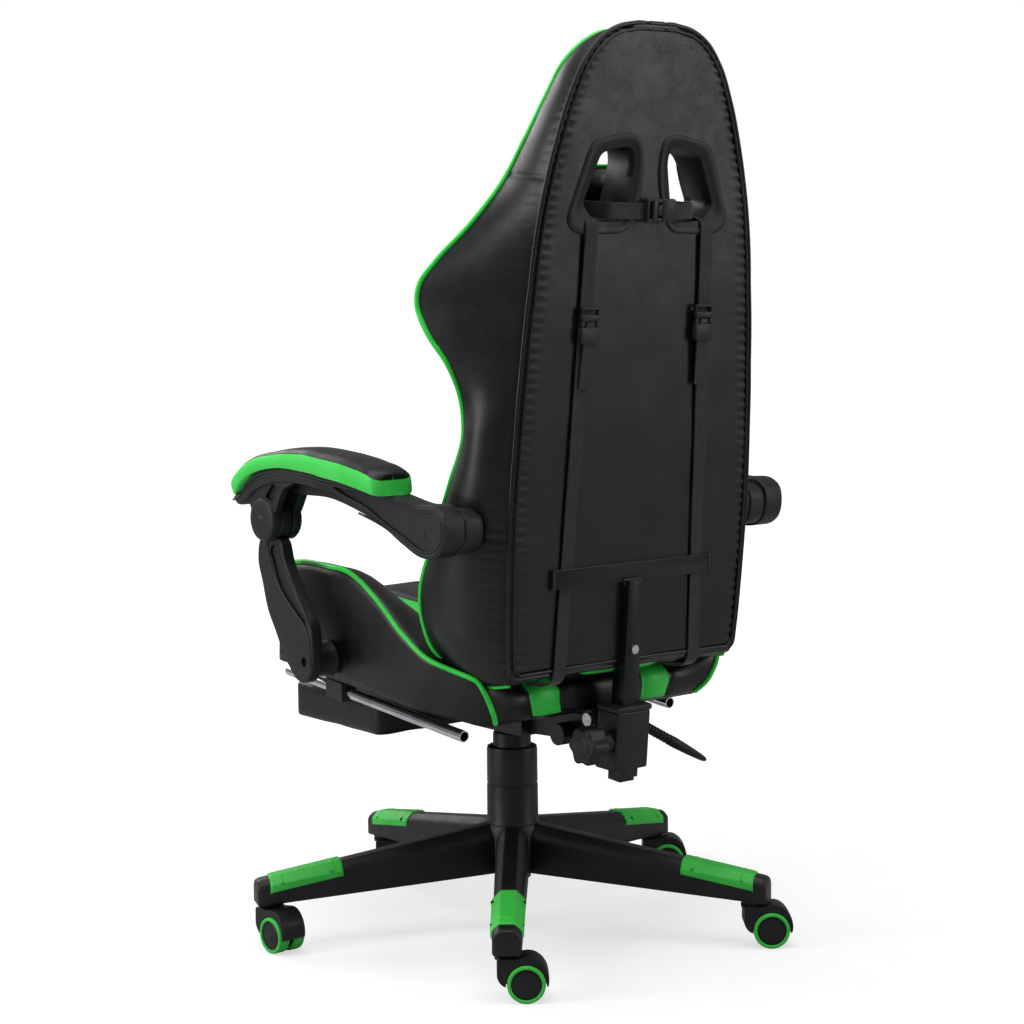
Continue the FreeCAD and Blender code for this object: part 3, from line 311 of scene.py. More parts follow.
def cord(name, points, radius, material, closed=False, sides=3):
    """A round tube along a line of points given in metres; radius in millimetres."""
    curve = bpy.data.curves.new(name, "CURVE")
    curve.dimensions = "3D"
    curve.bevel_depth = radius / 1000
    curve.bevel_resolution = sides
    curve.use_fill_caps = True
    spline = curve.splines.new("POLY")
    spline.points.add(len(points) - 1)
    for knot, point in zip(spline.points, points):
        knot.co = (*point, 1)
    spline.use_cyclic_u = closed
    carrier = bpy.data.objects.new(name + "_line", curve)
    bpy.context.scene.collection.objects.link(carrier)
    mesh = bpy.data.meshes.new_from_object(carrier.evaluated_get(bpy.context.evaluated_depsgraph_get()))
    bpy.data.objects.remove(carrier)
    bpy.data.curves.remove(curve)
    return new_piece(name, mesh, material)


def turned(name, profile, material, origin=(0, 0, 0), axis=(0, 0, 1), steps=64, sharp=35):
    """Turn a half section, given as (radius, along) points, about an axis through origin."""
    bm = bmesh.new()
    rings = []
    for radius, along in profile:
        count = steps if radius > 1e-6 else 1
        rings.append([bm.verts.new(mm(radius * math.cos(math.tau * k / steps),
                                      radius * math.sin(math.tau * k / steps), along))
                                      for k in range(count)])
    for low, high in zip(rings, rings[1:]):
        for k in range(steps):
            corners = [low[k % len(low)], low[(k + 1) % steps % len(low)],
                       high[(k + 1) % steps % len(high)], high[k % len(high)]]
            corners = list(dict.fromkeys(corners))
            if len(corners) > 2:
                bm.faces.new(corners)
    bmesh.ops.remove_doubles(bm, verts=bm.verts[:], dist=1e-6)
    turn = Vector((0, 0, 1)).rotation_difference(Vector(axis)).to_matrix().to_4x4()
    bmesh.ops.transform(bm, verts=bm.verts[:], matrix=Matrix.Translation(mm(*origin)) @ turn)
    return from_bmesh(name, bm, material, sharp=sharp)


def cut_plate(name, outline, place, low, high, material, ease=0.8, segments=2):
    """A flat plate of any outline between two levels, with eased edges."""
    bm = bmesh.new()
    below = [bm.verts.new(place(a, b, low)) for a, b in outline]
    above = [bm.verts.new(place(a, b, high)) for a, b in outline]
    bm.faces.new(below[::-1])
    bm.faces.new(above)
    for k in range(len(outline)):
        after = (k + 1) % len(outline)
        bm.faces.new((below[k], below[after], above[after], above[k]))
    piece = from_bmesh(name, bm, material, sharp=40)
    return ease_edges(piece, ease, segments) if ease else piece


def along_x(a, b, level):
    """Side-view outline (Y, Z) standing at a level of X."""
    return mm(level, a, b)


def on_back(a, b, level):
    """Back-frame outline (across, up) at a level of out."""
    return back_mm(a, level, b)


def carve(piece, cutter):
    """Cut one closed mesh out of another."""
    knife = piece.modifiers.new("carve", "BOOLEAN")
    knife.operation = "DIFFERENCE"
    knife.solver = "EXACT"
    knife.object = cutter
    bake(piece)
    bpy.data.meshes.remove(cutter.data)
    piece.data.set_sharp_from_angle(angle=math.radians(50))
    return piece


def through_loops(name, loops, place, material, sharp=None, closed=True):
    """Skin a run of equal outlines, each given as (points, level); closed joins the last to the first."""
    bm = bmesh.new()
    rings = [[bm.verts.new(place(a, b, level)) for a, b in points] for points, level in loops]
    pairs = list(zip(rings, rings[1:] + rings[:1])) if closed else list(zip(rings, rings[1:]))
    count = len(rings[0])
    for low, high in pairs:
        for k in range(count):
            bm.faces.new((low[k], low[(k + 1) % count], high[(k + 1) % count], high[k]))
    if not closed:
        bm.faces.new(rings[0][::-1])
        bm.faces.new(rings[-1])
    return from_bmesh(name, bm, material, sharp=sharp)


def ruffle(piece, amount, period, seed):
    """Push a soft surface in and out by smooth noise, in millimetres."""
    shift = Vector((seed * 7.3, seed * 3.1, seed * 5.7))
    for vert in piece.data.vertices:
        vert.co += vert.normal * noise.noise(vert.co * (1000 / period) + shift) * amount / 1000
    return piece


# ---- upholstered forms --------------------------------------------------------------------------

class Upholstery:
    """A closed form of three skins: a base sheet, side walls and a crowned top sheet."""

    def __init__(self, edge, pipe, middle, seams, bulge, crown, gather):
        self.across = self.columns(pipe[:, 0], seams)
        full = np.abs(self.across) / pipe[:, :1]
        g = np.clip((full - 0.5) / 0.45, 0, 1)
        g = g * g * (3 - 2 * g)
        self.top = np.stack([self.across,
                             middle[:, :1] * (1 - g) + pipe[:, 1:2] * g,
                             middle[:, 1:2] * (1 - g) + pipe[:, 2:3] * g], axis=2)
        share = self.across / pipe[:, :1]
        self.base = np.stack([share * edge[:, :1], np.repeat(edge[:, 1:2], share.shape[1], axis=1),
                              np.repeat(edge[:, 2:3], share.shape[1], axis=1)], axis=2)
        self.top = self.top + crown(self.top, self.across, pipe)
        self.walls = []
        for s in np.linspace(0, 1, 12)[1:-1]:
            wall = self.base * (1 - s) + self.top * s
            push = bulge * 4 * s * (1 - s)
            wall[:, 0, 0] -= push
            wall[:, -1, 0] += push
            self.walls.append(wall)
        self.stripe = np.minimum(seams[0], pipe[:, 0] * 0.4), np.minimum(seams[1], pipe[:, 0] * 0.66)
        if gather is not None:
            gather(self)

    @staticmethod
    def columns(width, seams):
        """Column positions that keep a column on each seam, and one 4 mm either side of it."""
        inner = np.minimum(seams[0], width * 0.4)
        outer = np.minimum(seams[1], width * 0.66)
        half = [np.zeros_like(width)]
        half += [(inner - 4) * t for t in np.linspace(0, 1, 7)[1:]]
        half += [inner]
        half += [inner + 4 + (outer - inner - 8) * t for t in np.linspace(0, 1, 5)]
        half += [outer]
        half += [outer + 4 + (width - outer - 4) * t for t in np.linspace(0, 1, 11)]
        half = np.stack(half, axis=1)
        return np.concatenate([-half[:, :0:-1], half], axis=1)

    def rim(self):
        """Row and column of every point round the sheets' rim, in order."""
        rows, columns = self.across.shape
        line = [(0, j) for j in range(columns)] + [(i, columns - 1) for i in range(1, rows)]
        line += [(rows - 1, j) for j in range(columns - 2, -1, -1)]
        return line + [(i, 0) for i in range(rows - 2, 0, -1)]

    def piece(self, name, place, finish_of, *materials):
        rows, columns = self.across.shape
        rim = self.rim()
        points = []
        tables = []
        for level, sheet in enumerate([self.base] + self.walls + [self.top]):
            whole = level in (0, len(self.walls) + 1)
            spots = [(i, j) for i in range(rows) for j in range(columns)] if whole else rim
            tables.append({spot: len(points) + k for k, spot in enumerate(spots)})
            points += [place(*sheet[spot]) for spot in spots]
        faces = []
        finishes = []
        for table, part in ((tables[0], "base"), (tables[-1], "top")):
            for i in range(rows - 1):
                for j in range(columns - 1):
                    faces.append((table[i, j], table[i, j + 1], table[i + 1, j + 1], table[i + 1, j]))
                    across = abs(self.across[i, j] + self.across[i, j + 1]) / 2
                    striped = part == "top" and self.stripe[0][i] < across < self.stripe[1][i]
                    finishes.append(finish_of(part, across, i / rows, striped))
        for low, high in zip(tables, tables[1:]):
            for spot, after in zip(rim, rim[1:] + rim[:1]):
                faces.append((low[spot], low[after], high[after], high[spot]))
                finishes.append(finish_of("wall", abs(self.across[spot]), spot[0] / rows, False))
        mesh = bpy.data.meshes.new(name)
        mesh.from_pydata(points, [], faces)
        mesh.polygons.foreach_set("material_index", finishes)
        bm = bmesh.new()
        bm.from_mesh(mesh)
        bmesh.ops.remove_doubles(bm, verts=bm.verts[:], dist=1e-5)
        bmesh.ops.recalc_face_normals(bm, faces=bm.faces[:])
        bm.to_mesh(mesh)
        bm.free()
        return new_piece(name, mesh, *materials)

    def side_line(self, place, column):
        """The top sheet's edge on one side, from the first row to the last."""
        return [place(*point) for point in self.top[:, column]]


def seam_crown(depth, seams, lift):
    """Crown between the sewn channels: down by depth along each seam, up by lift between them."""
    def crown(top, across, pipe):
        inner = np.minimum(seams[0], pipe[:, :1] * 0.4)
        outer = np.minimum(seams[1], pipe[:, :1] * 0.66)
        size = np.abs(across)
        near = np.minimum(np.abs(size - inner), np.abs(size - outer))
        groove = -depth * np.exp(-(near / 3.5) ** 2)
        panel = np.where(size < inner, size / inner,
                         np.where(size < outer, (size - inner) / (outer - inner), 0))
        swell = np.where(size < inner, lift * (1 - panel ** 4),
                         np.where(size < outer, lift * 0.5 * np.sin(np.pi * panel), 0))
        height = groove + swell
        direction = np.gradient(top, axis=0)
        normal = np.stack([np.zeros_like(height), -direction[:, :, 2], direction[:, :, 1]], axis=2)
        normal /= np.linalg.norm(normal, axis=2, keepdims=True) + 1e-9
        return normal * height[:, :, None]
    return crown


# ---- seat ---------------------------------------------------------------------------------------

# One row per station from the front edge over the top to the rear foot:
# bottom edge (across, Y, Z), green piping (across, Y, Z), middle of the top skin (Y, Z).
SEAT_ROWS = [
    (188, -255, 388, 188, -262, 392, -268, 398), (205, -252, 386, 196, -270, 420, -278, 418),
    (222, -245, 385, 205, -268, 455, -280, 440), (238, -232, 383, 216, -252, 490, -268, 458),
    (242, -205, 381, 230, -215, 517, -235, 466), (242, -160, 377, 241, -155, 530, -160, 464),
    (242, -110, 374, 243, -100, 529, -105, 460), (242, -60, 370, 243, -44, 525, -50, 456),
    (241, -10, 365, 243, 19, 495, 15, 449), (240, 50, 360, 243, 82, 452, 75, 442),
    (236, 95, 355, 238, 130, 426, 115, 436), (228, 125, 351, 226, 165, 415, 140, 430),
    (220, 150, 348, 217, 190, 408, 152, 420), (210, 168, 345, 211, 200, 402, 160, 400),
    (200, 178, 342, 203, 206, 384, 180, 388), (188, 183, 340, 190, 203, 360, 198, 378),
    (178, 184, 338, 176, 190, 342, 200, 346)]
SEAT_COUNT = 150
SEAT_SWELL = 8
# The green stripes lie between these distances from the middle, on the seat and on the back.
STRIPE = (73, 123)

seat_rows = smooth_rows(SEAT_ROWS, SEAT_COUNT)
seat_swell = SEAT_SWELL * np.exp(-((np.linspace(0, 1, SEAT_COUNT) - 0.45) / 0.3) ** 2)
seat_form = Upholstery(seat_rows[:, 0:3], seat_rows[:, 3:6], seat_rows[:, 6:8], STRIPE, seat_swell,
                       seam_crown(3.0, STRIPE, 5.0), None)


def seat_finish(part, across, row, striped):
    """Green on the stripes."""
    return int(striped)


seat_cover = seat_form.piece("seat_upholstery", mm, seat_finish, BLACK_LEATHER, GREEN_LEATHER)
ruffle(seat_cover, 1.2, 55, 1)
on(seat_cover, "seat", "black_leather", "seat_cushion", "seat_bolsters")
on(joined("seat_piping", [cord(f"seat_piping_{side}", seat_form.side_line(mm, column), 3.4, GREEN_PIPING)
                          for side, column in (("left", -1), ("right", 0))]), "seat", "green_leather")


# ---- back ---------------------------------------------------------------------------------------

# One row per station from the foot to the head, in the back frame: rear panel edge (half width, up),
# green piping on the bolster's front edge (across, out, up), middle of the front skin (out, up).
BACK_ROWS = [
    (186, 0, 188, -12, -10, -12, -8), (193, 6, 196, -45, -17, -40, -12), (196, 14, 208, -92, -10, -62, -9),
    (197, 26, 220, -130, 14, -78, 8), (199, 50, 226, -150, 50, -86, 45), (201, 90, 228, -155, 92, -90, 92),
    (203, 150, 227, -138, 150, -92, 150), (204, 230, 222, -108, 240, -90, 240),
    (201, 315, 224, -80, 316, -84, 316), (199, 360, 230, -83, 360, -80, 360),
    (196, 402, 250, -87, 402, -77, 402), (194, 436, 265, -108, 436, -75, 436),
    (191, 472, 270, -127, 472, -73, 472), (188, 500, 269, -125, 498, -72, 500),
    (185, 535, 250, -117, 528, -70, 535), (179, 580, 210, -101, 575, -68, 580),
    (170, 627, 172, -90, 626, -66, 627), (155, 685, 150, -73, 683, -64, 685),
    (136, 741, 127, -61, 740, -60, 741), (112, 789, 108, -50, 784, -55, 789),
    (90, 814, 88, -44, 806, -50, 811), (62, 829, 60, -42, 821, -46, 823), (30, 835, 30, -41, 826, -43, 828)]
BACK_COUNT = 330
BACK_TOP = 835
# How far the bolsters' sides swell out between panel edge and piping, by height.
SIDE_SWELL = [(0, 8), (14, 14), (50, 26), (230, 27), (320, 20), (400, 5), (500, 3), (600, 6), (700, 8),
              (844, 5)]
GATHER_PITCH = 13
GATHER_DEPTH = 1.3

back_rows = smooth_rows([(row[0], 0, row[1]) + row[2:] for row in BACK_ROWS], BACK_COUNT)
back_swell = np.interp(back_rows[:, 2], [h for h, _ in SIDE_SWELL], [s for _, s in SIDE_SWELL])


def gather_panel(form):
    """Crown the rear panel a little and gather it along the sewn edge."""
    base = form.base
    width = np.abs(base[:, -1:, 0])
    inward = np.minimum(width - np.abs(base[:, :, 0]), BACK_TOP - base[:, :, 2])
    inward = np.minimum(inward, base[:, :, 2] + 4)
    round_off = np.clip(inward / 26, 0, 1)
    soft = 2.4 * (1 - (1 - round_off) ** 2) - 2.4
    steps = np.linalg.norm(np.diff(base[:, -1, :], axis=0), axis=1)
    along = np.concatenate([[0], np.cumsum(steps)])[:, None]
    sway = np.array([[noise.noise(Vector((0, 0, s * 0.02))) * 2.5] for s in along[:, 0]])
    fade = np.exp(-((inward - 5) / 9) ** 2)
    gathers = GATHER_DEPTH * np.sin(math.tau * (along / GATHER_PITCH) + sway) * fade
    base[:, :, 1] += soft + 2.2 + gathers * (np.abs(base[:, :, 0]) > 40)
    base[:, [0, -1], 1] = 0
    for level, wall in enumerate(form.walls[:3]):
        keep = 0.5 * math.exp(-level / 0.6)
        sign = np.array([-1, 1])
        wave = np.sin(math.tau * along / GATHER_PITCH + sway + 2)
        wall[:, [0, -1], 0] += sign * keep * GATHER_DEPTH * wave


back_form = Upholstery(back_rows[:, 0:3], back_rows[:, 3:6], back_rows[:, 6:8], STRIPE, back_swell,
                       seam_crown(3.0, STRIPE, 3.0), gather_panel)
# Seams that cross the bolsters' sides: a shallow valley at these heights.
for seam_up in (183, 640):
    for wall in back_form.walls:
        valley = 2.2 * np.exp(-((wall[:, -1, 2] - seam_up) / 3) ** 2)
        wall[:, 0, 0] += valley
        wall[:, -1, 0] -= valley


def back_finish(part, across, row, striped):
    """Green on the stripes up to the head, and on a short band under the panel's foot."""
    foot_band = part == "wall" and row == 0 and across < 60
    return int(foot_band or striped and row < 0.62)


back_cover = back_form.piece("back_upholstery", back_mm, back_finish, BLACK_LEATHER, GREEN_LEATHER)
ruffle(back_cover, 1.1, 70, 2)

BEZEL_OUTLINE = [(38, 699), (18, 690), (12, 650), (20, 600), (38, 571), (113, 568), (131, 576), (137, 590),
                 (104, 679), (93, 689)]
OPENING_OUTLINE = [(84, 672), (50, 680), (33, 680), (28, 662), (36, 612), (41, 591), (49, 586), (92, 586),
                   (112, 607)]


def spokes(outline, centre, count):
    """Where rays from a centre meet an outline, so that two outlines get matching points."""
    result = []
    for k in range(count):
        ray = Vector((math.cos(math.tau * k / count), math.sin(math.tau * k / count)))
        reach = 0
        for a, b in zip(outline, outline[1:] + outline[:1]):
            a, b = Vector(a) - centre, Vector(b) - centre
            cross = ray.x * (b - a).y - ray.y * (b - a).x
            if abs(cross) < 1e-9:
                continue
            distance = (a.x * (b - a).y - a.y * (b - a).x) / cross
            share = (a.x * ray.y - a.y * ray.x) / cross
            if distance > 0 and -1e-6 <= share <= 1 + 1e-6:
                reach = max(reach, distance)
        result.append(tuple(centre + ray * reach))
    return result


# Bezel section from its outer rim through the opening to the front: share of the way in, and level out.
BEZEL_SECTION = [(0, -1), (0, 3.4), (0.07, 4.8), (0.2, 5.0), (0.55, 4.4), (0.62, 3.2), (0.9, 3.0), (1, 1.6),
                 (1, -12), (1, -62), (0.94, -67), (0.8, -68), (0.76, -66), (0.88, -62), (0.88, -12),
                 (0.88, -1)]
OPENING_FRONT = -62


def widened(across, up, level):
    """The opening widens towards its front, mostly outwards."""
    share = min(1, max(0, (level + 12) / (OPENING_FRONT + 12)))
    spread = 36 * (across - 66) / 65 if across > 66 else 14 * (across - 66) / 38
    return max(across + share * spread, 7 if across > 0 else across), up


opening_centre = Vector((66, 632))
outer_line = spokes(rounded(BEZEL_OUTLINE, 14), opening_centre, 96)
inner_line = spokes(rounded(OPENING_OUTLINE, 9), opening_centre, 96)
bezels = []
for side, name in SIDES:
    loops = []
    for share, level in BEZEL_SECTION:
        line = [widened(*Vector(a).lerp(Vector(b), share), level) for a, b in zip(outer_line, inner_line)]
        loops.append(([(side * across, up) for across, up in line], level))
    bezels.append(through_loops(f"head_bezel_{name}", loops, on_back, BLACK_ABS, sharp=45))
    rim = [Vector(a).lerp(Vector(b), 0.92) for a, b in zip(outer_line, inner_line)]
    hole = [([(side * across, up) for across, up in (widened(*spot, level) for spot in rim)], level)
            for level in (30, -12, OPENING_FRONT, -140)]
    carve(back_cover, through_loops(f"opening_{name}", hole, on_back, BLACK_LEATHER, closed=False))
on(joined("head_opening_bezels", bezels), "backrest", "black_plastic", "head_bezels")
on(back_cover, "backrest", "black_leather", "back_core", "back_pad", "back_wings")

front_line = back_form.side_line(back_mm, 0) + [back_mm(*spot) for spot in back_form.top[-1, 1:-1]]
front_line += back_form.side_line(back_mm, -1)[::-1]
on(cord("back_front_piping", front_line, 3.6, GREEN_PIPING), "backrest", "green_leather")
rear_lines = []
for label, inset, out in (("outer", -1.0, -1.5), ("inner", 6.5, 1.6)):
    line = []
    for i, j in back_form.rim():
        across, _, up = back_form.base[i, j]
        reach = math.hypot(across, (up - 420) * 0.45)
        line.append(back_mm(across * (1 - inset / reach), out, up - inset * 0.45 * (up - 420) / reach))
    rear_lines.append(cord(f"rear_piping_{label}", line, 3.0 if label == "outer" else 2.3, BLACK_PIPING,
                           closed=True))
on(joined("back_rear_piping", rear_lines), "backrest", "black_leather")


# ---- pillows and footrest pad -------------------------------------------------------------------

def stuffed(name, half, low, high, rear, front, material, cap, seed):
    """A pillow: a lens-like closed form, blown up as cloth, then ruffled; gives the pillow and its seam."""
    square = 3.2
    wide, tall = half, (high - low) / 2
    centre, middle = (low + high) / 2, (rear + front) / 2
    deep = abs(front - rear) / 2
    steps = 28
    bm = bmesh.new()
    ring = []
    for face in (1, -1):
        grid = []
        for i in range(steps + 1):
            row = []
            for j in range(steps + 1):
                u, v = 2 * i / steps - 1, 2 * j / steps - 1
                body = max(0, 1 - abs(u) ** square) ** 0.5 * max(0, 1 - abs(v) ** square) ** 0.5
                pull = 1 - 0.05 * (1 - abs(v) ** 2) * abs(u) ** 3
                row.append(bm.verts.new(back_mm(u * wide * pull, middle - face * (0.08 + 0.92 * body) * deep,
                                              centre + v * tall * (1 - 0.07 * (1 - u * u) * abs(v) ** 3))))
            grid.append(row)
        for i in range(steps):
            for j in range(steps):
                corners = [grid[i][j], grid[i + 1][j], grid[i + 1][j + 1], grid[i][j + 1]]
                bm.faces.new(corners if face > 0 else corners[::-1])
        edge = [grid[i][0] for i in range(steps)] + [grid[steps][j] for j in range(steps)]
        edge += [grid[i][steps] for i in range(steps, 0, -1)] + [grid[0][j] for j in range(steps, 0, -1)]
        ring.append(edge)
    for k in range(len(ring[0])):
        after = (k + 1) % len(ring[0])
        bm.faces.new((ring[0][k], ring[0][after], ring[1][after], ring[1][k]))
    seam = [(a.co + b.co) / 2 for a, b in zip(*ring)]
    piece = from_bmesh(name, bm, material)
    inflate(piece, cap)
    ruffle(piece, 1.6, 38, seed)
    return piece, seam


def inflate(piece, cap):
    """Remesh a closed form and let air pressure swell it as cloth, no point further than cap."""
    remesh = piece.modifiers.new("even_mesh", "REMESH")
    remesh.mode = "VOXEL"
    remesh.voxel_size = 0.006
    bake(piece)
    start = [v.co.copy() for v in piece.data.vertices]
    cloth = piece.modifiers.new("air", "CLOTH")
    cloth.settings.use_pressure = True
    cloth.settings.uniform_pressure_force = 4
    cloth.settings.tension_stiffness = 12
    cloth.settings.effector_weights.gravity = 0
    for step in range(1, 21):
        bpy.context.scene.frame_set(step)
    bake(piece)
    bpy.context.scene.frame_set(1)
    for vert, place in zip(piece.data.vertices, start):
        move = vert.co - place
        if move.length > cap / 1000:
            vert.co = place + move * (cap / 1000 / move.length)
    finer = piece.modifiers.new("finer", "SUBSURF")
    finer.levels = 1
    bake(piece)
    piece.data.polygons.foreach_set("use_smooth", [True] * len(piece.data.polygons))
    return piece


headrest, headrest_seam = stuffed("headrest_pillow_cover", 116, 548, 655, -90, -142, BLACK_LEATHER, 5, 3)
on(headrest, "backrest", "black_leather", "headrest_pillow")
on(cord("headrest_pillow_piping", headrest_seam, 2.6, GREEN_PIPING, closed=True), "backrest",
   "green_leather")
lumbar, lumbar_seam = stuffed("lumbar_pillow_cover", 145, 96, 286, -86, -146, BLACK_LEATHER, 6, 4)
on(lumbar, "backrest", "black_leather", "lumbar_pillow")
on(cord("lumbar_pillow_piping", lumbar_seam, 2.6, GREEN_PIPING, closed=True), "backrest", "green_leather")


def footrest_form():
    """The footrest pad: a firm upholstered board, nearly square-edged, crowned on its foot side."""
    bm = bmesh.new()
    bmesh.ops.create_cube(bm, size=1)
    bmesh.ops.bevel(bm, geom=bm.edges[:], offset=0.022, segments=2, affect="EDGES")
    bmesh.ops.transform(bm, verts=bm.verts[:], matrix=Matrix.Translation(mm(0, -202, 306))
                        @ Matrix.Diagonal((0.332, 0.216, 0.052, 1)))
    piece = from_bmesh("footrest_pad_cover", bm, BLACK_LEATHER)
    inflate(piece, 2.5)
    return ruffle(piece, 0.8, 60, 5)


footrest = footrest_form()
on(footrest, "footrest_flap", "black_leather", "footrest_pad")


# ---- straps and buckles -------------------------------------------------------------------------

def webbing(name, path, widthwise, width=21, thick=1.8, ease=10):
    """Flat webbing along a path of back-frame points; its bends are eased and its edges rolled."""
    points = [Vector(path[0])]
    for before, here, after in zip(path, path[1:], path[2:]):
        before, here, after = Vector(before), Vector(here), Vector(after)
        start = here + (before - here).normalized() * min(ease, (before - here).length * 0.45)
        end = here + (after - here).normalized() * min(ease, (after - here).length * 0.45)
        points += [start.lerp(here, t).lerp(here.lerp(end, t), t) for t in (0, 0.25, 0.5, 0.75, 1)]
    points.append(Vector(path[-1]))
    dense = [points[0]]
    for a, b in zip(points, points[1:]):
        cuts = max(1, int((b - a).length / 12))
        dense += [a.lerp(b, (k + 1) / cuts) for k in range(cuts)]
    section = [(-1, 0), (-0.94, 1), (0, 0.8), (0.94, 1), (1, 0), (0.94, -1), (0, -0.8), (-0.94, -1)]
    bm = bmesh.new()
    rings = []
    for k, point in enumerate(dense):
        along = (dense[min(k + 1, len(dense) - 1)] - dense[max(k - 1, 0)]).normalized()
        wide = (Vector(widthwise) - along * along.dot(Vector(widthwise))).normalized()
        face = along.cross(wide).normalized()
        wave = noise.noise(Vector(point) * 0.012) * 0.7
        rings.append([bm.verts.new(back_mm(*(point + wide * a * width / 2 + face * (b * thick / 2 + wave))))
                      for a, b in section])
    for low, high in zip(rings, rings[1:]):
        for k in range(8):
            bm.faces.new((low[k], low[(k + 1) % 8], high[(k + 1) % 8], high[k]))
    bm.faces.new(rings[0][::-1])
    bm.faces.new(rings[-1])
    return from_bmesh(name, bm, BLACK_WEBBING, sharp=60)


def board(name, x, up, out, material, ease=1.2, corner=3):
    """A rounded block on the back: spans of x, up and out."""
    outline = rounded([(x[0], up[0]), (x[1], up[0]), (x[1], up[1]), (x[0], up[1])], corner)
    return cut_plate(name, outline, on_back, out[0], out[1], material, ease)


def side_release_buckle(name, across, up, out, turned_flat):
    """Female body, male head with two bowed prongs, and a ladder bar at the free end."""
    def spot(a, b, level):
        return on_back(across + b, up + a, level) if turned_flat else on_back(across + a, up + b, level)
    shapes = [
        ([(-15, -3), (15, -3), (15, -23), (12, -25), (-12, -25), (-15, -23)], 0, 8.5, 1.6),
        ([(-8, -4), (8, -4), (6, 4), (-6, 4)], 1, 7, 0.8),
        ([(-14, -5), (-10, -5), (-9, 0), (-10, 6), (-14, 6), (-15.5, 0)], 1.5, 6.8, 1.2),
        ([(14, -5), (10, -5), (9, 0), (10, 6), (14, 6), (15.5, 0)], 1.5, 6.8, 1.2),
        ([(-15, 5), (15, 5), (15, 13), (-15, 13)], 0.5, 8, 1.4),
        ([(-15, 12), (-11, 12), (-11, 23), (-15, 23)], 0.5, 6.5, 1.2),
        ([(15, 12), (11, 12), (11, 23), (15, 23)], 0.5, 6.5, 1.2),
        ([(-14, 19), (14, 19), (14, 23), (-14, 23)], 1.5, 7.5, 1.2)]
    return joined(name, [cut_plate(f"{name}_{k}", rounded(shape, 1.6, 3), spot, out + low, out + high,
                                   BLACK_ABS, ease)
                         for k, (shape, low, high, ease) in enumerate(shapes)])


straps = []
for side, name in SIDES:
    run = [(92, -90, 284), (92, -87, 330), (92, -80.5, 402), (92, -76.5, 500), (92, -73.5, 588),
           (93, -62, 600), (98, -6, 590), (98.2, 6.6, 586), (98.6, 6.6, 568), (113, 4.8, 135),
           (117.8, 4.8, 4), (118, 1, -10), (118, -14, -19), (118, -46, -23), (118, -76, -18),
           (118, -90, 6), (118, -92, 60), (118, -94, 100)]
    straps.append(webbing(f"side_strap_{name}", [(side * a, b, c) for a, b, c in run], (1, 0, 0)))
    tail = [(97.5, 8.2, 470), (97.5, 11, 440), (98.5, 9.5, 405), (99.5, 8, 372)]
    straps.append(webbing(f"strap_tail_{name}", [(side * a, b, c) for a, b, c in tail], (1, 0, 0)))
straps.append(webbing("head_strap", [(76, -88, 600), (76, -2, 600), (72, 7.4, 600), (20, 8.2, 599),
                                     (-40, 8.2, 599), (-72, 7.4, 600), (-76, -2, 600), (-76, -88, 600)],
                                     (0, 0, 1)))
on(joined("pillow_webbing", straps), "backrest", "webbing", "pillow_straps")
on(joined("side_release_buckles", [side_release_buckle("buckle_left", 98, 455, 5.6, False),
                                   side_release_buckle("buckle_right", -98, 455, 5.6, False),
                                   side_release_buckle("buckle_head", -9, 600.5, 8.4, True)]),
   "backrest", "black_plastic", "strap_buckles")


# ---- back frame, boot and knob ------------------------------------------------------------------

on(joined("back_post_and_bar", [
    board("post", (-12.7, 12.7), (-159, 116), (-10.5, 14.4), POWDER_COAT, 2.2, 1),
    board("bar", (-134, 134), (113.6, 139.3), (-20, 7.2), POWDER_COAT, 2.2, 1),
    board("weld_plate", (-17, 17), (108, 118), (0, 8.6), POWDER_COAT, 1.5, 2),
    board("bar_plug_left", (133, 138), (112.8, 140), (-21, 7.9), BLACK_NYLON, 1.5, 3),
    board("bar_plug_right", (-138, -133), (112.8, 140), (-21, 7.9), BLACK_NYLON, 1.5, 3)]),
   "backrest", "black_steel", "back_frame")


def to_back(y, z):
    """Side-view point (Y, Z) as (out, up) in the back frame."""
    run, rise = y - PANEL_FOOT_Y, z - PANEL_FOOT_Z
    return run * math.cos(LEAN) - rise * math.sin(LEAN), run * math.sin(LEAN) + rise * math.cos(LEAN)


def on_back_side(out, up, level):
    """Side-view outline (out, up) of the leaning back, standing at a level of X."""
    return back_mm(level, out, up)


RECLINE_PIVOT = (205, 331)
KNOB_AXIS = (244, 306)
pivot = to_back(*RECLINE_PIVOT)
knob_spot = to_back(*KNOB_AXIS)
tongue = [(pivot[0] - 11, pivot[1] - 9), (pivot[0] + 2, pivot[1] - 13), (-16, pivot[1] - 13),
          (-16, pivot[1] + 13), (pivot[0], pivot[1] + 13), (pivot[0] - 10, pivot[1] + 9)]
boot_body = rounded([(-20, -143), (22, -141), (23, -60), (-20, -60)], 4)
on(joined("back_boot_moulding", [
    cut_plate("boot_body", boot_body, on_back_side, -29, 29, BLACK_NYLON, 3, 3),
    cut_plate("boot_lip", rounded([(-20, -61), (24, -61), (24, -53), (-20, -53)], 3), on_back_side, -30.5,
              30.5, BLACK_NYLON, 1.6, 3),
    cut_plate("boot_tongue", rounded(tongue, 5), on_back_side, -21.3, 21.3, BLACK_NYLON, 1.5, 2),
    cut_plate("boot_foot", rounded([(-8, -153), (19, -153), (19, -140), (-8, -140)], 2), on_back_side, -15,
              15, BLACK_NYLON, 1.5, 2),
    turned("knob_boss", [(0, 28), (13.5, 28), (13.5, 34), (11.5, 38), (11.5, 43), (0, 43)], BLACK_NYLON,
           tuple(1000 * c for c in back_mm(0, *knob_spot)), (1, 0, 0), 40)]),
   "backrest", "black_plastic", "back_boot")

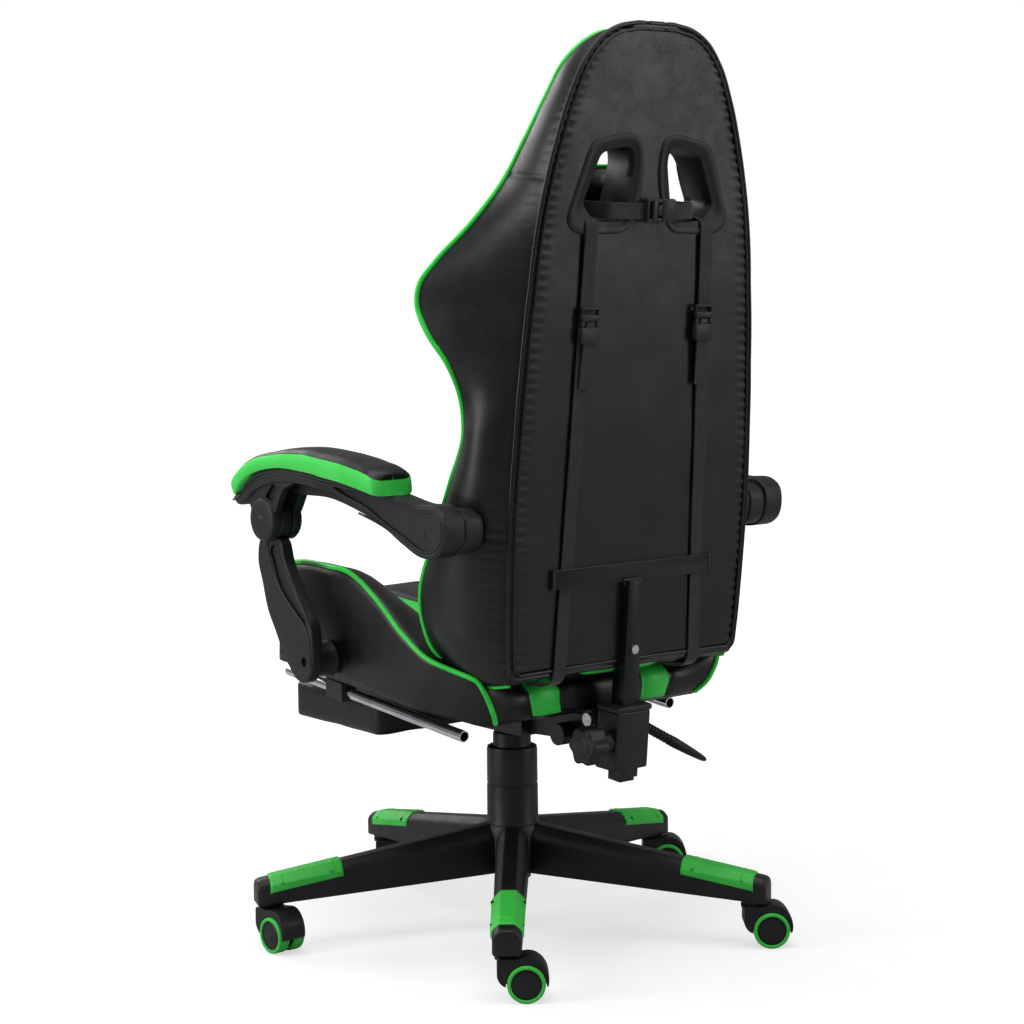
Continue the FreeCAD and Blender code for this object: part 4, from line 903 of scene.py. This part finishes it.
# Six shallow lobes: (radius, angle) round the knob's axis.
lobes = [(24.5 + 2.3 * math.cos(6 * a), a) for a in np.linspace(0, math.tau, 72, endpoint=False)]
lobes = [(KNOB_AXIS[0] + radius * math.cos(a), KNOB_AXIS[1] + radius * math.sin(a)) for radius, a in lobes]
on(joined("recline_clamp_knob", [
    cut_plate("knob_lobes", lobes, along_x, 47, 76, BLACK_NYLON, 3.0, 4),
    turned("knob_collar", [(0, 44.2), (15, 44.2), (17, 46), (17, 50), (0, 50)], BLACK_NYLON,
           (0, *KNOB_AXIS), (1, 0, 0), 48),
    turned("knob_cap", [(0, 77.6), (11, 77.4), (14, 76.6), (14.4, 75), (0, 75)], BLACK_NYLON,
           (0, *KNOB_AXIS), (1, 0, 0), 48),
    turned("knob_stud", [(0, 20), (3.9, 20), (3.9, 46), (0, 46)], BLACK_NYLON, (0, *KNOB_AXIS), (1, 0, 0),
           24)]),
   "clamp_knob", "black_plastic", "clamp_knob")


# ---- armrests -----------------------------------------------------------------------------------

ARM_TOP = [(-220, 622), (-202, 629), (-190, 641), (-167, 655), (-137, 664), (-99, 669), (-61, 669),
           (-24, 667), (12, 663), (60, 658), (94, 653), (131, 646)]
ARM_REAR = [(182, 638), (228, 636), (240, 628), (245, 606), (238, 584), (222, 573), (198, 570), (150, 586),
            (108, 601), (66, 615), (34, 623), (-21, 632), (-76, 632), (-188, 632), (-208, 615)]
PAD_TOP = [(126, 672), (118, 678), (78, 688), (7, 696), (-69, 698), (-127, 690), (-166, 682), (-196, 668),
           (-221, 649), (-230, 636)]
LINK_OUTLINE = [(-176, 566), (-183, 534), (-174, 507), (-160, 466), (-143, 440), (-126, 414), (-108, 392),
                (-88, 377), (-72, 376), (-58, 386), (-52, 401), (-50, 433), (-55, 457), (-72, 478),
                (-98, 514), (-114, 540), (-124, 566)]
KNUCKLE = (-149, 595)


# The arm's outer side at its rear, and how much further out it stands under the pad.
ARM_SIDE = 294
ARM_FLARE = 23


def flare(piece):
    """Spread the arm's outer side towards the pad."""
    for vert in piece.data.vertices:
        s = min(1, max(0, (0.12 - vert.co.y) / 0.13))
        s = s * s * (3 - 2 * s)
        vert.co.x += ARM_FLARE / 1000 * s * min(1, max(0, (vert.co.x - 0.280) / 0.014))
    return piece


def flared(y):
    """Where the arm's outer side stands at a place along it."""
    s = min(1, max(0, (120 - y) / 130))
    return ARM_SIDE + ARM_FLARE * s * s * (3 - 2 * s)


def arm_shell():
    beam = cut_plate("arm_beam", smooth_loop(ARM_TOP + ARM_REAR, 190), along_x, 262, 291, BLACK_ABS, 2.5, 3)
    skirt = [(150, 585), (110, 604), (60, 629), (12, 645), (-24, 648), (-61, 650), (-99, 649), (-137, 643),
             (-167, 633), (-190, 618), (-206, 611)]
    shell = cut_plate("arm_shell", smooth_loop(ARM_TOP + ARM_REAR[:7] + skirt, 190), along_x, 284, 294,
                      BLACK_ABS, 2.2, 3)
    recess = [(20, 653), (60, 648), (94, 643), (131, 636), (182, 628), (222, 627), (232, 620), (235, 604),
              (229, 590), (216, 582), (200, 580), (154, 594), (116, 609), (74, 630), (40, 643)]
    carve(shell, cut_plate("arm_recess", smooth_loop(recess, 120), along_x, 291.4, 310, BLACK_ABS, 0))
    carve(shell, turned("arm_hole", [(0, 289), (8.5, 289), (8.5, 300), (0, 300)], BLACK_ABS, (0, 205, 600),
                        (1, 0, 0), 40))
    flare(shell)
    rims = []
    for k, (drop, size, spans) in enumerate(((4.5, 1.5, (0, 22)), (9.0, 1.0, (2, 21)))):
        line = smooth_rows((ARM_TOP + ARM_REAR[:10])[spans[0]:spans[1]], 120)
        turn = np.gradient(line, axis=0)
        turn /= np.linalg.norm(turn, axis=1, keepdims=True)
        inset = line + np.stack([turn[:, 1], -turn[:, 0]], axis=1) * drop
        rims.append(cord(f"arm_rim_{k}", [mm(flared(y), y, z) for y, z in inset], size, BLACK_ABS))
    neck = [(-177, 603), (-121, 603), (-98, 640), (-66, 652), (-160, 652), (-192, 634)]
    outer_neck = cut_plate("outer_neck", rounded(neck, 6), along_x, 303.5, 313, BLACK_ABS, 1.5, 2)
    carve(outer_neck, cut_plate("neck_window", rounded([(-143, 626), (-124, 621), (-106, 641),
                                                        (-124, 646)], 4),
                                along_x, 308, 330, BLACK_ABS, 0))
    inner_neck = cut_plate("inner_neck", rounded(neck, 6), along_x, 268, 281.5, BLACK_ABS, 1.5, 2)
    discs = [turned("outer_disc", [(0, 318.4), (1.4, 318.3), (1.9, 317.8), (12, 317.6), (25, 316.6),
                                   (28.6, 315.4), (30, 313), (30, 303.2), (0, 303.2)], BLACK_ABS,
                                   (0, *KNUCKLE), (1, 0, 0), 72),
             turned("inner_disc", [(0, 282), (29, 282), (30, 281), (30, 270), (28, 267.6), (0, 267)],
                    BLACK_ABS, (0, *KNUCKLE), (1, 0, 0), 72),
             turned("knuckle_pin", [(0, 280), (5, 280), (5, 304), (0, 304)], BLACK_ABS, (0, *KNUCKLE),
                    (1, 0, 0), 32)]
    return joined("arm_shell_left", [beam, shell, outer_neck, inner_neck] + rims + discs)


def arm_cushion():
    """Moulded foam pad: a green band round its sides and a black top, sewn where they meet."""
    count = 90
    foot = smooth_rows(ARM_TOP, count)
    head = smooth_rows(PAD_TOP[::-1], count)
    foot[:, 0] += np.linspace(-6, 0, count)
    reach = np.linalg.norm(np.diff(foot, axis=0), axis=1)
    along = np.concatenate([[0], np.cumsum(reach)])
    ring = [(-0.93, 0), (-1, 0.12), (-1.02, 0.42), (-1.0, 0.68), (-0.965, 0.76), (-0.945, 0.765),
            (-0.9, 0.82), (-0.74, 0.92), (-0.4, 0.985), (0, 1)]
    ring += [(-a, b) for a, b in ring[-2::-1]]
    bm = bmesh.new()
    rings = []
    stations = [(0, 0.02), (0, 0.6), (0, 0.85)] + [(k, 1) for k in range(count)]
    stations += [(count - 1, 0.85), (count - 1, 0.6), (count - 1, 0.02)]
    for k, squeeze in stations:
        nose, tail = along[k], along[-1] - along[k]
        width = 33.4
        for gap, corner in ((nose, 24), (tail, 13)):
            if gap < corner:
                width -= corner - math.sqrt(corner ** 2 - (corner - gap) ** 2)
        rings.append([bm.verts.new(mm(288.5 + a * width * squeeze, foot[k, 0] * (1 - b) + head[k, 0] * b,
                                      foot[k, 1] * (1 - b) + head[k, 1] * b)) for a, b in ring])
    for low, high in zip(rings, rings[1:]):
        for k in range(len(ring)):
            after = (k + 1) % len(ring)
            face = bm.faces.new((low[k], low[after], high[after], high[k]))
            face.material_index = 1 if min(ring[k][1], ring[after][1]) > 0.75 else 0
    bm.faces.new(rings[0][::-1])
    bm.faces.new(rings[-1])
    pad = from_bmesh("arm_cushion_left", bm, ARM_PAD_GREEN, BLACK_LEATHER)
    ruffle(pad, 0.7, 40, 6)
    seams = []
    for k in (4, len(ring) - 5):
        sewn = foot * 0.24 + head * 0.76
        line = [mm(288.5 + ring[k][0] * 33.1, *sewn[n]) for n in range(14, count - 5)]
        seams.append(cord(f"pad_seam_{k}", line, 0.7, BLACK_THREAD))
    return joined("arm_cushion_left", [pad] + seams)


def arm_link():
    """Curved blade with a crossing ridge, a loose eye at the knuckle and a bolt hole at its foot."""
    blade = cut_plate("link_blade", smooth_loop(LINK_OUTLINE, 130), along_x, 284.2, 301.6, BLACK_ABS, 2.6, 3)
    eye = turned("link_eye", [(10, 284.2), (28, 284.2), (29, 285.2), (29, 300.6), (28, 301.6), (10, 301.6),
                              (10, 284.2)],
                 BLACK_ABS, (0, *KNUCKLE), (1, 0, 0), 64)
    channel = [(-139, 560), (-128, 545), (-122, 533), (-112, 516), (-96, 496), (-78, 478), (-66, 464),
               (-66, 456), (-90, 470), (-108, 484), (-128, 505), (-141, 530), (-148, 556)]
    carve(blade, cut_plate("link_channel", smooth_loop(channel, 90), along_x, 298.6, 320, BLACK_ABS, 0))
    carve(blade, turned("link_hole", [(0, 297), (6.5, 297), (6.5, 310), (0, 310)], BLACK_ABS,
                        (0, -71, 405), (1, 0, 0), 32))
    carve(blade, turned("knuckle_bore", [(0, 280), (27, 280), (27, 310), (0, 310)], BLACK_ABS,
                        (0, *KNUCKLE), (1, 0, 0), 48))
    ridges = [cord("link_ridge", [mm(301.4, y, z) for y, z in smooth_rows(
                  [(-158, 563), (-152, 540), (-139, 515), (-116, 490), (-88, 469), (-66, 452), (-57, 436),
                   (-55, 400)], 60)],
                  1.7, BLACK_ABS),
              cord("link_edge_line", [mm(301.4, y, z) for y, z in smooth_rows(
                  [(-133, 562), (-125, 542), (-108, 517), (-86, 492), (-67, 473), (-58, 458)], 50)], 1.2,
                  BLACK_ABS)]
    return joined("link_blade_left", [blade, eye] + ridges)


spacer_outline = [(182, 577), (226, 575.5), (238, 584), (243, 598), (243, 616), (238, 626), (226, 632),
                  (182, 632)]
spacer = joined("arm_spacer_left", [
    cut_plate("spacer_block", rounded(spacer_outline, 6), along_x, 234, 261.4, BLACK_ABS, 3, 4),
    cut_plate("spacer_step", rounded([(a * 0.92 + 17, b * 0.92 + 48) for a, b in spacer_outline], 5),
              along_x, 230, 236, BLACK_ABS, 1.5, 2)])
bracket = joined("link_bracket_left", [
    turned("bracket_boss", [(0, 283.4), (19.5, 283.4), (21.6, 281.8), (22, 279), (22, 262), (23.5, 256),
                            (26, 250.6), (0, 250.6)],
           BLACK_ABS, (0, -89, 402), (1, 0, 0), 64)])
for left, body, slot, node in (
        (arm_shell(), "arm_left", "black_plastic", "arm_left"),
        (arm_cushion(), "arm_left", "green_leather", "arm_pad_left"),
        (arm_link(), "link_left", "black_plastic", "arm_link_left"),
        (spacer, "backrest", "black_plastic", None), (bracket, "seat", "black_plastic", None)):
    right = moved_copy(left, left.name.replace("left", "right"), MIRROR)
    for piece, name in ((left, "left"), (right, "right")):
        nodes = [node.replace("left", name)] if node else []
        on(piece, body.replace("left", name), slot, *nodes)
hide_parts("arm_spacers")
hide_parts("link_brackets")


# ---- height lever -------------------------------------------------------------------------------

HEADING = math.radians(169)


def lever_mm(reach, z, side=0.0):
    """A point on the lever's upright plane: reach from the lift's axis along its heading."""
    return mm(reach * math.cos(HEADING) - side * math.sin(HEADING),
              reach * math.sin(HEADING) + side * math.cos(HEADING), z)


rod_line = [(48, 328.6), (60, 323), (198, 275.5), (212, 270), (228, 260.5), (248, 248.5)]
on(cord("lever_rod", [lever_mm(*p) for p in rod_line], 4, POWDER_COAT, sides=6),
   "height_lever", "black_steel", "height_lever")


def lever_handle():
    """Ribbed sleeve that widens into a flat paddle."""
    start, end = Vector((212, 270)), Vector((322, 205))
    span = end - start
    along = span.normalized()
    lift = Vector((-along.y, along.x))
    sizes = [(0.0, 6.0, 6.0), (0.02, 7.6, 7.4)]
    for k in range(8):
        at = 0.05 + 0.047 * k
        sizes += [(at, 7.9, 7.7), (at + 0.012, 6.6, 6.4), (at + 0.024, 6.6, 6.4), (at + 0.034, 7.9, 7.7)]
    sizes += [(0.43, 8.4, 7.8), (0.5, 10.2, 8.0), (0.6, 12.0, 7.4), (0.75, 12.6, 6.4), (0.88, 11.2, 5.2),
              (0.96, 8.0, 4.0), (0.99, 4.6, 2.6), (1.0, 1.5, 1.0)]
    bm = bmesh.new()
    rings = []
    for at, wide, deep in sizes:
        centre = start + span * at
        ring = []
        for k in range(32):
            a = math.tau * k / 32
            spot = centre + lift * math.sin(a) * deep
            ring.append(bm.verts.new(lever_mm(spot.x, spot.y, math.cos(a) * wide)))
        rings.append(ring)
    for low, high in zip(rings, rings[1:]):
        for k in range(32):
            bm.faces.new((low[k], low[(k + 1) % 32], high[(k + 1) % 32], high[k]))
    bm.faces.new(rings[0][::-1])
    bm.faces.new(rings[-1])
    return from_bmesh("lever_handle", bm, BLACK_ABS, sharp=38)


on(lever_handle(), "height_lever", "black_plastic", "lever_grip")


# ---- star base, covers and casters --------------------------------------------------------------

SPOKES = [50.4 + 72 * k for k in range(5)]
ROOT, TIP = 28, 372
CASTER_CIRCLE = 350


def leg_section(reach, lift=0.0, drop=None):
    """Cross-section of a leg at a distance from the lift: (sideways, z) points, roof first."""
    s = (reach - ROOT) / (TIP - ROOT)
    half = 23 - 4 * s
    top = 153 - 55.5 * s + lift
    foot = 83 - 19.6 * s if drop is None else top - drop
    slope = 20 - 10 * s
    return [(-half - lift, foot), (-half - lift, top - slope), (-half * 0.86, top - slope * 0.55),
            (-10, top), (10, top), (half * 0.86, top - slope * 0.55), (half + lift, top - slope),
            (half + lift, foot)]


def leg_loft(name, stations, turn, material, ease):
    bm = bmesh.new()
    rings = []
    for reach, section in stations:
        rings.append([bm.verts.new(mm(reach * math.cos(turn) - side * math.sin(turn),
                                      reach * math.sin(turn) + side * math.cos(turn), z)) for side,
                                      z in section])
    for low, high in zip(rings, rings[1:]):
        for k in range(len(low)):
            bm.faces.new((low[k], low[(k + 1) % len(low)], high[(k + 1) % len(low)], high[k]))
    bm.faces.new(rings[0][::-1])
    bm.faces.new(rings[-1])
    return ease_edges(from_bmesh(name, bm, material, sharp=25), ease, 3, 20)


def star_base():
    items = [turned("hub", [(0, 84), (36, 84), (40, 86), (41, 120), (40.5, 146), (38.5, 150), (0, 150)],
                    BLACK_NYLON, steps=80)]
    for heading in SPOKES:
        turn = math.radians(heading)
        stations = [(reach, leg_section(reach)) for reach in (ROOT, 60, 140, 240, 340, 366)]
        tip = [(side * 0.93, 63 + (z - 63) * 0.95) for side, z in leg_section(TIP)]
        stations.append((TIP, tip))
        items.append(leg_loft("leg", stations, turn, BLACK_NYLON, 2.2))
        socket = [(0, 60), (15, 60), (17, 62), (18, 70), (0, 70)]
        items.append(turned("caster_socket", socket, BLACK_NYLON,
                            (CASTER_CIRCLE * math.cos(turn), CASTER_CIRCLE * math.sin(turn), 0), steps=40))
    return joined("star_base_moulding", items)


def leg_caps():
    items = []
    for heading in SPOKES:
        stations = [(reach, leg_section(reach, lift, 21)) for reach, lift in
                    ((252, 0.6), (254, 2.4), (300, 2.4), (352, 2.4), (354.5, 0.6))]
        items.append(leg_loft("cap", stations, math.radians(heading), GREEN_ABS, 1.4))
        turn = math.radians(heading)
        for reach in (268, 338):
            rib = [(reach - 1.2, leg_section(reach, 2.3, 9)), (reach, leg_section(reach, 3.2, 9)),
                   (reach + 1.2, leg_section(reach, 2.3, 9))]
            items.append(leg_loft("cap_rib", rib, turn, GREEN_ABS, 0.4))
    return joined("leg_end_caps", items)


on(star_base(), "base", "black_nylon", "star_base")
on(leg_caps(), "base", "green_plastic", "leg_caps")
on(turned("lower_lift_cover", [(25.4, 150), (37.4, 150), (37.4, 154), (36.4, 156), (36.2, 205),
                               (36, 206.2), (35.2, 207), (35.2, 209), (36, 210), (35.8, 257), (35, 260.6),
                               (32, 262), (27.6, 262), (27.6, 250), (25.4, 150)],
          BLACK_NYLON, steps=96), "base", "black_nylon", "lower_cover")
on(turned("upper_lift_cover", [(26.2, 166), (27, 166), (27, 278), (26, 281), (23, 282), (15, 282),
                               (15, 278), (24.6, 277), (26.2, 270), (26.2, 166)], BLACK_NYLON, steps=80),
                               "lift", "black_nylon", "upper_cover")

AXLE = (24, 0, 25)
# Side view of the hood, (along the trail, up): thick over the swivel, thin where it ends behind the wheels.
HOOD_SIDE = [(-13.5, 58.3), (-13.8, 34), (-10, 26.5), (-4, 21.5), (49.5, 21.5), (53, 22.5), (53.6, 33),
             (51, 44), (45, 53), (37, 59), (29, 61), (20, 60.3), (12, 58.6), (0, 58.3)]


def caster_hood():
    """Cowl over both wheels with its web and neck, swivel axis at the origin and wheels trailing +X."""
    def upright(a, b, level):
        return mm(a, level, b)
    cowl = cut_plate("cowl", rounded(HOOD_SIDE, 4), upright, -18.5, 18.5, BLACK_NYLON, 3.5, 4)
    for side in (1, -1):
        well = [(0, 3.4), (26.3, 3.4), (26.3, 24), (0, 24)]
        carve(cowl, turned("wheel_well", well, BLACK_NYLON, AXLE, (0, side, 0), 72))
    web = [(8, 24), (10, 12), (24, 6), (38, 12), (42, 24), (38, 36), (24, 40), (10, 36)]
    neck = [(0, 55), (16.5, 55), (17.2, 58.8), (14.5, 60), (14, 62.6), (0, 62.6)]
    return joined("caster_hood", [cowl, cut_plate("web", smooth_loop(web, 48), upright, -3.1, 3.1,
                                                  BLACK_NYLON, 1),
                                  turned("neck", neck, BLACK_NYLON, steps=48)])


def caster_wheel(side):
    """Green tyre on a black domed disc; side is +1 or -1 across the caster."""
    tyre = [(20, 4.4), (23.6, 4), (24.7, 4.8), (25, 6.4), (25, 18.6), (24.6, 20.2), (23.4, 21.1), (21, 21.3),
            (20.3, 20.8), (20, 19.6), (20, 4.4)]
    disc = [(0, 21.6), (3, 21.5), (3.6, 21), (9, 20.9), (15, 20.2), (17, 19.7), (17.8, 19), (19.4, 19.2),
            (20.1, 18.8), (20.1, 4.6), (8, 4.2), (8, 3.8), (0, 3.8)]
    items = [turned("tyre", tyre, GREEN_ABS, AXLE, (0, side, 0), 72),
             turned("disc", disc, BLACK_NYLON, AXLE, (0, side, 0), 72)]
    return joined("caster_wheel", items)


hood = caster_hood()
wheels = {"a": caster_wheel(1), "b": caster_wheel(-1)}
for index, heading in enumerate(SPOKES, 1):
    leg = math.radians(heading)
    wheel_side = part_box(f"caster_wheel_{index}a"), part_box(f"caster_wheel_{index}b")
    middles = [(low + high) / 2 for low, high in wheel_side]
    centre = (middles[0] + middles[1]) / 2
    swivel = mm(CASTER_CIRCLE * math.cos(leg), CASTER_CIRCLE * math.sin(leg), 0)
    trail = centre - swivel
    turn = math.atan2(trail.y, trail.x)
    put = Matrix.Translation(swivel) @ Matrix.Rotation(turn, 4, "Z")
    on(moved_copy(hood, f"caster_hood_{index}_moulding", put), f"caster_{index}", "black_nylon",
       f"caster_hood_{index}")
    for letter, middle in zip("ab", middles):
        left_hand = (put.inverted() @ middle).y > 0
        on(moved_copy(wheels["a" if left_hand else "b"], f"caster_wheel_{index}{letter}_turned", put),
           f"wheel_{index}{letter}", "black_nylon", f"caster_wheel_{index}{letter}")
for spare in (hood, *wheels.values()):
    bpy.data.meshes.remove(spare.data)


# ---- CAD parts that stay ------------------------------------------------------------------------

KEPT = {POWDER_COAT: ("gas_cylinder", "mechanism", "mechanism_plate", "footrest_hinges", "seat_pan"),
        CHROME: ("gas_piston", "gas_button", "footrest_rails"), BLACK_ABS: ("rail_guides",),
        ZINC: ("seat_bolts", "recline_pin", "back_bolts", *(f"caster_pins_{k}" for k in range(1, 6)))}
for material, names in KEPT.items():
    for name in names:
        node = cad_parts[name]
        for holder in node.material_slots:
            holder.material = material


# ---- floor, light and camera --------------------------------------------------------------------

FLOOR = 14  # half the floor's side, in metres

def studio():
    """Pale floor, a white surround that the finishes see dimmed, and four large soft boxes."""
    # The floor glows a little, more so far away, so that it runs out into the white surround.
    bm = bmesh.new()
    corners = ((-1, -1), (1, -1), (1, 1), (-1, 1))
    bm.faces.new([bm.verts.new((x * FLOOR, y * FLOOR, 0)) for x, y in corners])
    paint = skin("pale_painted_floor", "#B4B4B4", "#BABABA", (0.7, 0.8), 40, 0.02)
    floor = paint.node_tree
    place = add(floor, "ShaderNodeNewGeometry").outputs["Position"]
    reach = add(floor, "ShaderNodeVectorMath", {0: place}, operation="LENGTH").outputs["Value"]
    far = add(floor, "ShaderNodeMapRange", {"Value": reach}, From_Min=0.8, From_Max=3.2, To_Min=0.6,
              To_Max=1.0)
    glow = add(floor, "ShaderNodeEmission", {"Strength": far}, Color=(1, 1, 1, 1))
    seen = add(floor, "ShaderNodeLightPath").outputs["Is Camera Ray"]
    lit = add(floor, "ShaderNodeMixShader", {0: seen, 2: glow})
    shader = next(n for n in floor.nodes if n.type == "BSDF_PRINCIPLED")
    output = next(n for n in floor.nodes if n.type == "OUTPUT_MATERIAL")
    both = add(floor, "ShaderNodeAddShader", {0: shader, 1: lit})
    floor.links.new(both.outputs[0], output.inputs["Surface"])
    from_bmesh("studio_floor", bm, paint)
    world = bpy.data.worlds.new("white_studio")
    world.use_nodes = True
    tree = world.node_tree
    dim = tree.nodes["Background"]
    dim.inputs["Color"].default_value = (1, 1, 1, 1)
    dim.inputs["Strength"].default_value = 0.24
    bright = add(tree, "ShaderNodeBackground", Color=(1, 1, 1, 1), Strength=1.0)
    seen = add(tree, "ShaderNodeLightPath").outputs["Is Camera Ray"]
    both = add(tree, "ShaderNodeMixShader", {0: seen, 1: dim, 2: bright})
    tree.links.new(both.outputs[0], tree.nodes["World Output"].inputs["Surface"])
    bpy.context.scene.world = world
    bpy.context.scene.view_settings.view_transform = "Standard"
    for label, place, wide, tall, power in (
            ("overhead_box", (0.3, 0.4, 3.2), 2.6, 2.6, 62), ("left_box", (2.9, -0.9, 1.5), 0.9, 2.4, 46),
            ("right_box", (-2.0, 2.6, 1.6), 0.8, 2.2, 26), ("front_box", (0.4, -3.0, 2.0), 2.4, 1.6, 40)):
        light = bpy.data.lights.new(label, "AREA")
        light.shape = "RECTANGLE"
        light.energy = power
        light.size = wide
        light.size_y = tall
        lamp = bpy.data.objects.new(label, light)
        bpy.context.scene.collection.objects.link(lamp)
        lamp.location = place
        lamp.rotation_euler = (Vector((0, 0, 0.6)) - Vector(place)).to_track_quat("-Z", "Y").to_euler()


def camera():
    lens = bpy.data.cameras.new("view_from_behind")
    lens.lens = 83.92
    lens.sensor_width = 36
    lens.shift_x = 0.00266
    lens.shift_y = -0.00114
    eye = bpy.data.objects.new("view_from_behind", lens)
    bpy.context.scene.collection.objects.link(eye)
    eye.location = (2.0571, 2.6239, 0.9434)
    pitch = math.radians(5.966)
    level = Vector((-eye.location.x, -eye.location.y, 0)).normalized()
    aim = level * math.cos(pitch) + Vector((0, 0, -math.sin(pitch)))
    turn = aim.to_track_quat("-Z", "Y").to_matrix() @ Matrix.Rotation(-0.01152, 3, "Z")
    eye.rotation_euler = turn.to_euler()
    bpy.context.scene.camera = eye


studio()
camera()
